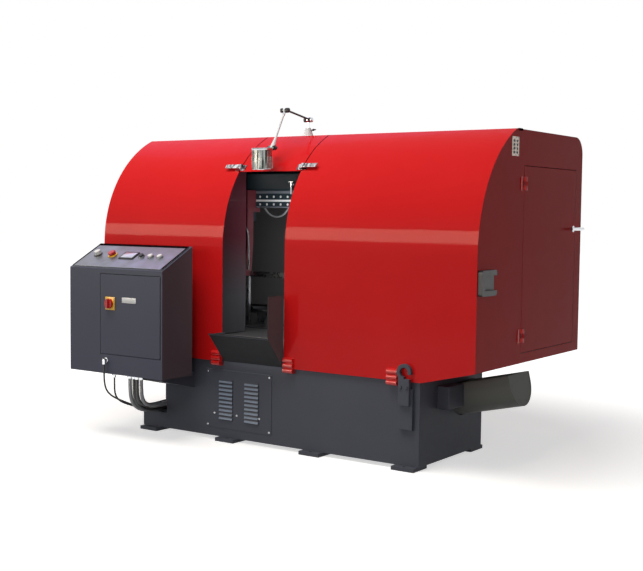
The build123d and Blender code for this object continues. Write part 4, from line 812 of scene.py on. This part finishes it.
def lugBolts(look):
    front, rear = corner["lifting_lugs"][0].y, corner["lifting_lugs"][1].y
    radius = look["radius"]
    bolt = eased(radius, look["height"], look["chamfer"], radius * look["shoulder"], -look["sunk"])
    spots = [(look["x"], front, look["frontHeight"], -1)]
    spots += [(x, rear, look["rearHeight"], 1) for x in (-look["x"], look["x"])]
    mesh = bmesh.new()
    for x, y, z, out in spots:
        for side in (-1, 1):
            turned(mesh, axisPlace((x + side * look["apart"], y, z), (0, out, 0)), bolt, 6)
    piece("lugBolts", mesh, "base", "base_grey")


def trayHem(look):
    # The tray's lip is hemmed, so its edge catches the light; the hem is also painted a paler grey than the
    # tray, as a painted highlight along the lip
    low, high = corner["front_tray"]
    y, z = low.y + look["radius"], look["height"]
    mesh = bmesh.new()
    tubeOn(mesh, [(low.x, y, z), (high.x, y, z)], lambda gone: look["radius"], 10)
    piece("trayHem", mesh, "base", "base_grey", look["sharp"])


def troughCover(look):
    # A flat sheet between the trough's walls shuts its outer end
    tilt = math.radians(look["tilt"])
    along = Vector((math.cos(tilt), 0, math.sin(tilt)))
    up = Vector((-math.sin(tilt), 0, math.cos(tilt)))
    middle = Vector(look["start"]) + along * (look["outside"] - look["inset"])

    def onEnd(turn, radius):
        return middle + Vector((0, radius * math.cos(turn), 0)) + up * (radius * math.sin(turn))

    turns = [math.pi * (1 + step / look["steps"]) for step in range(look["steps"] + 1)]
    outline = [onEnd(turn, look["radius"]) for turn in turns]
    outline += [outline[-1] + up * look["side"], outline[0] + up * look["side"]]
    depths = (0.0, look["thick"])
    mesh = bmesh.new()
    skin(mesh, [[mesh.verts.new(point - along * depth) for point in outline] for depth in depths])
    for angle in look["screwAngles"]:
        turned(mesh, axisPlace(onEnd(math.radians(angle), look["screwRing"]), along),
               screwProfile(look["screwRadius"], look["screwHeight"]), 12)
    piece("troughCover", mesh, "base", "trough_grey")


panelScrews(panelScrewLook)
lugBolts(lugBoltLook)
trayHem(trayHemLook)
troughCover(troughEndLook)
print("base trimmed")


# Rail: grey strips, graduated scale and two rows of socket screws, flush enough for the arm to pass
railLook = {"proud": 0.00012, "scaleShare": 0.5, "tickShare": 0.8, "rimShare": 0.5, "headShare": 0.8,
            "sunk": 0.0005, "first": -0.520, "last": 0.085,
            "strips": ((1.402, 0.016), (1.3145, 0.006)), "stripLead": 0.015,  # height and width of each
            "scaleHeight": 1.352, "scaleWide": 0.012, "scaleShort": 0.012,
            "tick": 0.010, "tickFirst": 0.008, "tickSpare": 0.03, "tickHalf": 0.0004, "tickTall": 0.0045,
            "longTall": 0.0075, "longEvery": 5, "rows": (1.375, 1.330), "pitch": 0.0505, "screw": 0.0066,
            "headTop": 0.9, "socket": 0.0022}


def railTrim(look):
    face = corner["guide_rail"][0].y
    proud, first, last = look["proud"], look["first"], look["last"]
    strips = bmesh.new()
    for height, wide in look["strips"]:
        slab(strips, (first - look["stripLead"], face - proud, height - wide / 2),
             (last, face + look["sunk"], height + wide / 2), proud / 2)
    piece("railStrips", strips, "saw_frame", "motor_grey")
    low, high = (look["scaleHeight"] + side * look["scaleWide"] / 2 for side in (-1, 1))
    scale = bmesh.new()
    slab(scale, (first, face - proud * look["scaleShare"], low),
         (last - look["scaleShort"], face + look["sunk"], high), proud / 4)
    piece("railScale", scale, "saw_frame", "zinc_white")
    ticks = bmesh.new()
    for step in range(int((last - first - look["tickSpare"]) / look["tick"])):
        x = first + look["tickFirst"] + step * look["tick"]
        tall = look["tickTall"] if step % look["longEvery"] else look["longTall"]
        slab(ticks, (x - look["tickHalf"], face - proud * look["tickShare"], low),
             (x + look["tickHalf"], face, low + tall), proud / 8)
    piece("railTicks", ticks, "saw_frame", "black_plastic")
    heads = bmesh.new()
    sockets = bmesh.new()
    radius, socket = look["screw"], look["socket"]
    head = [(-look["sunk"], radius), (proud * look["rimShare"], radius),
            (proud * look["headShare"], radius * look["headTop"])]
    for row in look["rows"]:
        for step in range(int((last - first) / look["pitch"]) + 1):
            spot = axisPlace((first + step * look["pitch"], face, row), (0, -1, 0))
            turned(heads, spot, head, 16)
            turned(sockets, spot, [(0.0, socket), (proud, socket)], 6)
    piece("railScrews", heads, "saw_frame", "zinc_white")
    piece("railSockets", sockets, "saw_frame", "black_plastic")


railTrim(railLook)
print("rail trimmed")


# Operator's cabinet: switch plate and blank label on the door, rim and fittings on the sloping console
switchLook = {"plate": 0.073, "deep": 0.004, "edge": 0.0012, "disc": eased(0.031, 0.0012, 0.0005, 0.030),
              "labelLeft": -0.754, "labelRight": -0.648, "labelLow": 0.775, "labelHigh": 0.805,
              "labelDeep": 0.0015, "labelEdge": 0.0006}
consoleLook = {"frontHeight": 0.960, "rearHeight": 1.090, "panelThick": 0.006}
rimLook = {"half": 0.3455, "side": 0.009, "rear": 0.1252, "deep": 0.020, "front": -0.1250, "thick": 0.0016,
           "sunk": 0.0003, "edge": 0.0005, "lap": 0.9}
displayLook = {"x": -0.815, "halfWide": 0.055, "halfDeep": 0.037, "tall": 0.005, "edge": 0.0015,
               "glassInset": 0.010, "glassLow": 0.0045, "glassHigh": 0.0058, "glassEdge": 0.0005}
dialLook = {"collar": eased(0.028, 0.003, 0.0015, 0.028 * 0.92), "rose": eased(0.027, 0.0012, 0.0004, 0.0262),
            "marks": 11, "markFirst": -135, "markStep": 27, "markLow": (-0.0005, 0.0215, 0.0010),
            "markHigh": (0.0005, 0.0255, 0.0019), "markEdge": 0.0002}


def consolePlace(x, look=consoleLook):
    # Frame on the console's top face: X along it, Z out of it
    low, high = corner["cabinet_body"]
    front, rear = look["frontHeight"], look["rearHeight"]
    tilt = math.atan((rear - front) / (high.y - low.y))
    middle = Vector((x, (low.y + high.y) / 2, (front + rear) / 2))
    lift = Matrix.Translation((0, 0, look["panelThick"]))
    return Matrix.Translation(middle) @ Matrix.Rotation(tilt, 4, "X") @ lift


def onConsole(node):
    return consolePlace((corner[node][0].x + corner[node][1].x) / 2)


def switchTrim(look):
    low, high = corner["main_switch"]
    x, z = (low.x + high.x) / 2, (low.z + high.z) / 2
    face = corner["cabinet_door"][0].y
    half = look["plate"] / 2
    mesh = bmesh.new()
    slab(mesh, (x - half, face - look["deep"], z - half), (x + half, face, z + half), look["edge"])
    turned(mesh, axisPlace((x, face - look["deep"], z), (0, -1, 0)), look["disc"], 40)
    piece("switchPlate", mesh, "cabinet_door", "yellow_plastic")
    label = bmesh.new()
    slab(label, (look["labelLeft"], face - look["labelDeep"], look["labelLow"]),
         (look["labelRight"], face, look["labelHigh"]), look["labelEdge"])
    piece("doorLabel", label, "cabinet_door", "white_plate")


def consoleRim(look):
    # Black edging round the back and the ends of the console's panel
    spot = onConsole("console_panel")
    half, rear, side, deep = look["half"], look["rear"], look["side"], look["deep"]
    mesh = bmesh.new()
    slab(mesh, (-half, rear - deep, -look["sunk"]), (half, rear, look["thick"]), look["edge"], spot)
    for left in (-half, half - side):
        slab(mesh, (left, look["front"], -look["sunk"]),
             (left + side, rear - deep * look["lap"], look["thick"] * look["lap"]), look["edge"], spot)
    piece("consoleRim", mesh, "base", "black_rubber_and_seam_shade")


def displayTrim(look):
    spot = consolePlace(look["x"])
    wide, deep, inset = look["halfWide"], look["halfDeep"], look["glassInset"]
    bezel = bmesh.new()
    slab(bezel, (-wide, -deep, 0.0), (wide, deep, look["tall"]), look["edge"], spot)
    piece("displayBezel", bezel, "base", "black_plastic")
    glass = bmesh.new()
    slab(glass, (inset - wide, inset - deep, look["glassLow"]),
         (wide - inset, deep - inset, look["glassHigh"]), look["glassEdge"], spot)
    piece("displayGlass", glass, "base", "display_glass")


def dialTrim(look):
    turnedPiece("stopCollar", onConsole("emergency_stop"), look["collar"], 40, "base", "yellow_plastic")
    dialPlace = onConsole("speed_dial")
    turnedPiece("dialRose", dialPlace, look["rose"], 40, "base", "black_plastic")
    marks = bmesh.new()
    for step in range(look["marks"]):
        spin = Matrix.Rotation(math.radians(look["markFirst"] + look["markStep"] * step), 4, "Z")
        slab(marks, look["markLow"], look["markHigh"], look["markEdge"], dialPlace @ spin)
    piece("dialMarks", marks, "base", "white_plate")


switchTrim(switchLook)
consoleRim(rimLook)
displayTrim(displayLook)
dialTrim(dialLook)
print("cabinet trimmed")


# Coolant: a bent pipe beside the left arm and a tap on the band cover
pipeLook = {"radius": 0.0055, "sides": 14, "steps": 16, "bends": [  # x and y from the arm's right front edge
    (-0.030, 0.004, 1.235), (-0.022, -0.006, 1.222), (-0.006, -0.010, 1.200), (0.012, -0.010, 1.165),
    (0.016, -0.010, 1.120), (0.020, -0.010, 1.070), (0.018, -0.008, 1.010), (0.006, 0.002, 0.965),
    (-0.002, 0.012, 0.945)]}
tapLook = {"x": -0.020, "top": 1.452, "out": 0.012, "stemDown": 0.012, "handleHalf": 0.016,
           "handleFront": 0.021, "handleRear": 0.005, "handleTall": 0.005, "handleEdge": 0.002, "sides": 20,
           "stem": [(0.0, 0.012), (0.004, 0.012), (0.0045, 0.008), (0.016, 0.008), (0.017, 0.006)],
           "spout": [(0.0, 0.006), (0.001, 0.0085), (0.022, 0.0085), (0.024, 0.0065), (0.060, 0.0065),
                     (0.066, 0.0050)]}


def coolantPipe(look):
    low, high = corner["left_guide_arm"]
    path = routePath([(high.x + x, low.y + y, z) for x, y, z in look["bends"]], look["steps"])
    mesh = bmesh.new()
    tubeOn(mesh, path, lambda gone: look["radius"], look["sides"])
    piece("coolantPipe", mesh, "left_guide_arm", "chrome_plate")


def coolantTap(look):
    face = corner["band_cover"][0].y
    x, top = look["x"], look["top"]
    mesh = bmesh.new()
    turned(mesh, axisPlace((x, face, top - look["stemDown"]), (0, -1, 0)), look["stem"], look["sides"])
    turned(mesh, axisPlace((x, face - look["out"], top), (0, 0, -1)), look["spout"], look["sides"])
    slab(mesh, (x - look["handleHalf"], face - look["handleFront"], top),
         (x + look["handleHalf"], face - look["handleRear"], top + look["handleTall"]), look["handleEdge"])
    piece("coolantTap", mesh, "saw_frame", "chrome_plate")


coolantPipe(pipeLook)
coolantTap(tapLook)
print("coolant fittings made")


# Work lamp: hubs and knobs at its joints, a sleeve on the arm, flange and wing screw of the foot
lampArmLook = {"capSide": 0.0188, "capRadius": 0.0138, "headCap": 0.0095, "eyeHalf": 0.0068,
               "hub": [(0.0, 0.0120), (0.00272, 0.01295), (0.0068, 0.0139), (0.01088, 0.01295),
                       (0.0136, 0.0120)],
               "ferruleStart": 0.013, "ferrule": [(0.0, 0.0082), (0.020, 0.00738), (0.022, 0.005904)],
               "sleeveStart": 0.004, "sleeve": [(0.0, 0.011475), (0.006, 0.0135), (0.018, 0.0135),
                                                (0.049, 0.00918), (0.070, 0.0068), (0.073, 0.0058)]}
lampFootLook = {"flange": eased(0.041, 0.0035, 0.0015, 0.041 * 0.94), "wingHeight": 0.036, "wingOut": 0.0200,
                "wingRise": 0.25, "wingStem": [(-0.004, 0.0035), (0.012, 0.0035), (0.013, 0.0062),
                                               (0.021, 0.0062), (0.022, 0.0045)],
                "wingLow": (-0.013, -0.0024, 0.013), "wingHigh": (0.013, 0.0024, 0.029), "wingEdge": 0.0016}


def capProfile(radius):
    return [(0.0, radius * 0.9), (0.002, radius), (0.008, radius * 0.95), (0.0105, radius * 0.7),
            (0.0115, radius * 0.3)]


def lampJoints(look):
    lower, elbow, head = (jointAt[n] for n in ("lamp_lower_tilt", "lamp_elbow_tilt", "lamp_head_tilt"))
    along = (elbow - head).normalized()
    eye = Vector((look["eyeHalf"], 0, 0))
    turnedPiece("lampPostHub", axisPlace(lower - eye, (1, 0, 0)), look["hub"], 28, "lamp_post",
                "chrome_plate")
    upper = bmesh.new()
    turned(upper, axisPlace(elbow - eye, (1, 0, 0)), look["hub"], 28)
    turned(upper, axisPlace(elbow - along * look["ferruleStart"], -along), look["ferrule"], 20)
    piece("lampElbowHub", upper, "lamp_upper_arm", "chrome_plate")
    turnedPiece("lampSleeve", axisPlace(head - along * look["sleeveStart"], along), look["sleeve"], 24,
                "lamp_upper_arm", "pale_enamel")
    aside = Vector((look["capSide"], 0, 0))
    for name, joint, radius, body, finish in (
            ("lampElbowKnob", elbow, look["capRadius"], "lamp_lower_arm", "black_plastic"),
            ("lampPostCap", lower, look["capRadius"], "lamp_lower_arm", "chrome_plate"),
            ("lampHeadKnob", head, look["headCap"], "lamp_head", "black_plastic")):
        turnedPiece(name, axisPlace(joint + aside, (1, 0, 0)), capProfile(radius), 24, body, finish)


def lampFoot(look):
    centre = jointAt["lamp_swivel"]
    foot = corner["lamp_base"][0].z
    turnedPiece("lampFlange", axisPlace((centre.x, centre.y, foot), (0, 0, 1)), look["flange"], 40, "base",
                "pale_enamel")
    place = axisPlace((centre.x + look["wingOut"], centre.y, foot + look["wingHeight"]),
                      (1, 0, look["wingRise"]))
    wing = bmesh.new()
    turned(wing, place, look["wingStem"], 16)
    slab(wing, look["wingLow"], look["wingHigh"], look["wingEdge"], place)
    piece("lampWingScrew", wing, "base", "black_plastic")


lampJoints(lampArmLook)
lampFoot(lampFootLook)


# Lamp can: ribs, two rims, a reflector and the bulb; distances run down from the can's top
lampCanLook = {
    "reach": 0.098, "drop": 0.004, "tilt": 5.0, "radius": 0.056, "length": 0.118, "wall": 0.002,
    "ribs": 40, "ribLow": (-0.0005, -0.0012, 0.049), "ribHigh": (0.0013, 0.0012, 0.111), "ribEdge": 0.0005,
    "topRim": (0.0035, 0.0115), "topProud": 0.0012,
    "footRim": ((-0.004, 0.0010), (-0.002, 0.0018), (0.0, 0.0006)),
    "reflector": [(0.028, 0.013), (0.045, 0.031), (0.075, 0.0455), (0.100, 0.0490), (0.1005, 0.0482),
                  (0.076, 0.0446), (0.046, 0.030), (0.029, 0.012)],
    "bulb": [(0.006, 0.0115), (0.030, 0.0115), (0.042, 0.0140), (0.056, 0.0220), (0.068, 0.0262),
             (0.078, 0.0262), (0.088, 0.0205), (0.094, 0.0120), (0.097, 0.0030)],
}


def lampCan(look):
    tilt = math.radians(look["tilt"])
    top = jointAt["lamp_head_tilt"] + Vector((0, -look["reach"], -look["drop"]))
    place = axisPlace(top, (0, math.sin(tilt), -math.cos(tilt)))
    radius, length = look["radius"], look["length"]
    inner = radius - look["wall"]
    wall = Vector((radius, 0, 0))
    ribs = bmesh.new()
    for step in range(look["ribs"]):
        spin = place @ Matrix.Rotation(2 * math.pi * step / look["ribs"], 4, "Z")
        slab(ribs, wall + Vector(look["ribLow"]), wall + Vector(look["ribHigh"]), look["ribEdge"], spin)
    piece("lampRibs", ribs, "lamp_head", "can_alloy")
    rims = bmesh.new()
    (first, last), outer = look["topRim"], radius + look["topProud"]
    turned(rims, place, [(first, inner), (first, outer), (last, outer), (last, inner)], 48, True)
    foot = [(length + down, radius + proud) for down, proud in look["footRim"]]
    turned(rims, place, [(foot[0][0], inner), *foot, (length, inner)], 48, True)
    turned(rims, place, look["reflector"], 40, True)
    piece("lampRimsAndReflector", rims, "lamp_head", "chrome_plate")
    turnedPiece("lampBulb", place, look["bulb"], 28, "lamp_head", "lamp_glass")


lampCan(lampCanLook)
print("lamp trimmed")


# Chip brush: a steel hub with crimped wire strands, which stands for the CAD disc
brushLook = {"hubRadius": 0.0155, "neckRadius": 0.0125, "endRadius": 0.0115, "chamfer": 0.001,
             "neckEnd": 0.0055, "hubStart": 0.0060, "strands": 360, "rounds": 12.0, "strandRadius": 0.00042,
             "rootDepth": 0.001, "lean": 0.10, "sway": 0.006, "inset": 0.003, "tip": 0.0005, "uneven": 0.001,
             "seed": 7}


def chipBrush(look):
    low, high = corner["wire_brush"]
    centre = (low + high) / 2
    reach = (high.z - low.z) / 2 - look["tip"]
    wide = high.y - low.y
    hubRadius, neck = look["hubRadius"], look["neckRadius"]
    rng = random.Random(look["seed"])
    half = [(0.0, look["endRadius"]), (look["chamfer"], neck), (look["neckEnd"], neck),
            (look["hubStart"], hubRadius)]
    hub = half + [(wide - distance, radius) for distance, radius in reversed(half)]
    made = turnedPiece("brushHub", axisPlace((centre.x, low.y, centre.z), (0, 1, 0)), hub, 32, "wire_brush",
                       "bare_steel")
    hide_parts("wire_brush")
    strands = bmesh.new()
    for step in range(look["strands"]):
        turn = 2 * math.pi * step / look["strands"] * look["rounds"]
        across = low.y + look["inset"] + (wide - 2 * look["inset"]) * step / look["strands"]
        axis = Vector((centre.x, across, centre.z))
        out = Vector((math.cos(turn), 0, math.sin(turn)))
        aside = Vector((-out.z, 0, out.x))
        lean = rng.uniform(-look["lean"], look["lean"])
        root = axis + out * (hubRadius - look["rootDepth"])
        bend = root + out * (reach - hubRadius) * 0.5 + aside * lean * look["sway"]
        tip = axis + (out + aside * lean).normalized() * (reach - rng.uniform(0, look["uneven"]))
        tubeOn(strands, [root, bend, tip], lambda gone: look["strandRadius"], 4)
    made = piece("brushStrands", strands, "wire_brush", "brush_wire")
    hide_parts("wire_brush")


chipBrush(brushLook)
print("brush made")


# Light and floor
stageLook = {
    "floorSize": 60.0,
    "floor": "e8e8e6",
    "floorBounce": "7c7c7c",
    "glowNear": 0.58,
    "glowFar": 1.0,
    "nearReach": 1.6,
    "farReach": 3.2,
    "sky": 0.09,
    "softboxes": {
        # name: (place, aim, size, power, colour, lights surfaces, shows in reflections)
        "overheadSoftbox": ((-0.9, -2.1, 5.4), (0.0, 0.1, 1.0), (5.0, 2.6), 228.0, "fffaf4", True, False),
        "frontFill": ((-1.7, -5.9, 1.7), (-0.1, 0.0, 1.15), (2.8, 1.8), 40.0, "ffffff", True, False),
        "viewerFill": ((2.9, -5.6, 1.6), (-0.1, 0.0, 1.10), (1.6, 1.6), 46.0, "ffffff", True, False),
        "frontStrip": ((-2.7, -3.9, 1.98), (-2.7, 0.0, 1.70), (5.4, 0.80), 185.0, "ffe9d2", False, True),
        "rearSoftbox": ((-2.6, 2.6, 4.4), (0.0, 0.3, 1.5), (5.0, 2.0), 24.0, "b894ff", False, True),
        "windowLight": ((0.085, -0.09, 1.22), (-0.40, 0.20, 1.28), (0.06, 0.30), 2.0, "ffffff", True, False),
        "tableLight": ((0.070, -0.20, 0.86), (-0.30, 0.25, 0.66), (0.06, 0.20), 0.7, "ffffff", True, False),
    },
}


def softbox(name, place, aim, size, power, colour, lights, reflected):
    light = bpy.data.lights.new(name, "AREA")
    light.shape = "RECTANGLE"
    light.size, light.size_y = size
    light.energy = power
    light.color = hexColour(colour)[:3]
    made = bpy.data.objects.new(name, light)
    made.location = place
    made.rotation_euler = (Vector(aim) - Vector(place)).to_track_quat("-Z", "Y").to_euler()
    made.visible_camera = False
    made.visible_diffuse = lights
    made.visible_glossy = reflected
    bpy.context.scene.collection.objects.link(made)


def shownToEye(tree):
    # 1 for rays that show the background: straight from the camera, mirrored or through glass
    path = addNode(tree, "ShaderNodeLightPath")
    direct = addNode(tree, "ShaderNodeMath", {"operation": "MAXIMUM"},
                     {0: path.outputs["Is Camera Ray"], 1: path.outputs["Is Glossy Ray"]})
    shown = addNode(tree, "ShaderNodeMath", {"operation": "MAXIMUM"},
                    {0: direct.outputs[0], 1: path.outputs["Is Transmission Ray"]})
    return shown.outputs[0]


def paperFloor(look):
    # Pale paper: it glows a little to the eye so that it runs out to white, and keeps the shadow nearby
    paper, tree = newFinish("palePaperFloor")
    shown = shownToEye(tree)
    tone = addNode(tree, "ShaderNodeMix", {"data_type": "RGBA"},
                   {0: shown, 6: hexColour(look["floorBounce"]), 7: hexColour(look["floor"])})
    spot = addNode(tree, "ShaderNodeTexCoord").outputs["Object"]
    reach = addNode(tree, "ShaderNodeVectorMath", {"operation": "LENGTH"}, {0: spot})
    glow = addNode(tree, "ShaderNodeMapRange", None,
                   {"Value": reach.outputs["Value"], "From Min": look["nearReach"],
                    "From Max": look["farReach"], "To Min": look["glowNear"], "To Max": look["glowFar"]})
    seen = addNode(tree, "ShaderNodeMath", {"operation": "MULTIPLY"}, {0: glow.outputs[0], 1: shown})
    endFinish(tree, {"Base Color": tone.outputs[2], "Roughness": 0.9, "Specular IOR Level": 0.0,
                     "Emission Color": (1.0, 1.0, 1.0, 1.0), "Emission Strength": seen.outputs[0]})
    mesh = bmesh.new()
    bmesh.ops.create_grid(mesh, x_segments=4, y_segments=4, size=look["floorSize"] / 2)
    data = bpy.data.meshes.new("studioFloor")
    mesh.to_mesh(data)
    mesh.free()
    data.materials.append(paper)
    floor = bpy.data.objects.new("studioFloor", data)
    bpy.context.scene.collection.objects.link(floor)


def studioWorld(look):
    # White surroundings for the eye and for reflections, a dim even sky for the rest
    world = bpy.data.worlds.new("studioWorld")
    world.use_nodes = True
    tree = world.node_tree
    tree.nodes.clear()
    strength = addNode(tree, "ShaderNodeMix", {"data_type": "FLOAT"},
                       {0: shownToEye(tree), 2: look["sky"], 3: 1.0})
    back = addNode(tree, "ShaderNodeBackground", None,
                   {"Color": (1.0, 1.0, 1.0, 1.0), "Strength": strength.outputs[0]})
    addNode(tree, "ShaderNodeOutputWorld", None, {"Surface": back.outputs[0]})
    bpy.context.scene.world = world


for boxName, settings in stageLook["softboxes"].items():
    softbox(boxName, *settings)
paperFloor(stageLook)
studioWorld(stageLook)
bpy.context.scene.view_settings.view_transform = "Standard"
print("studio lit")
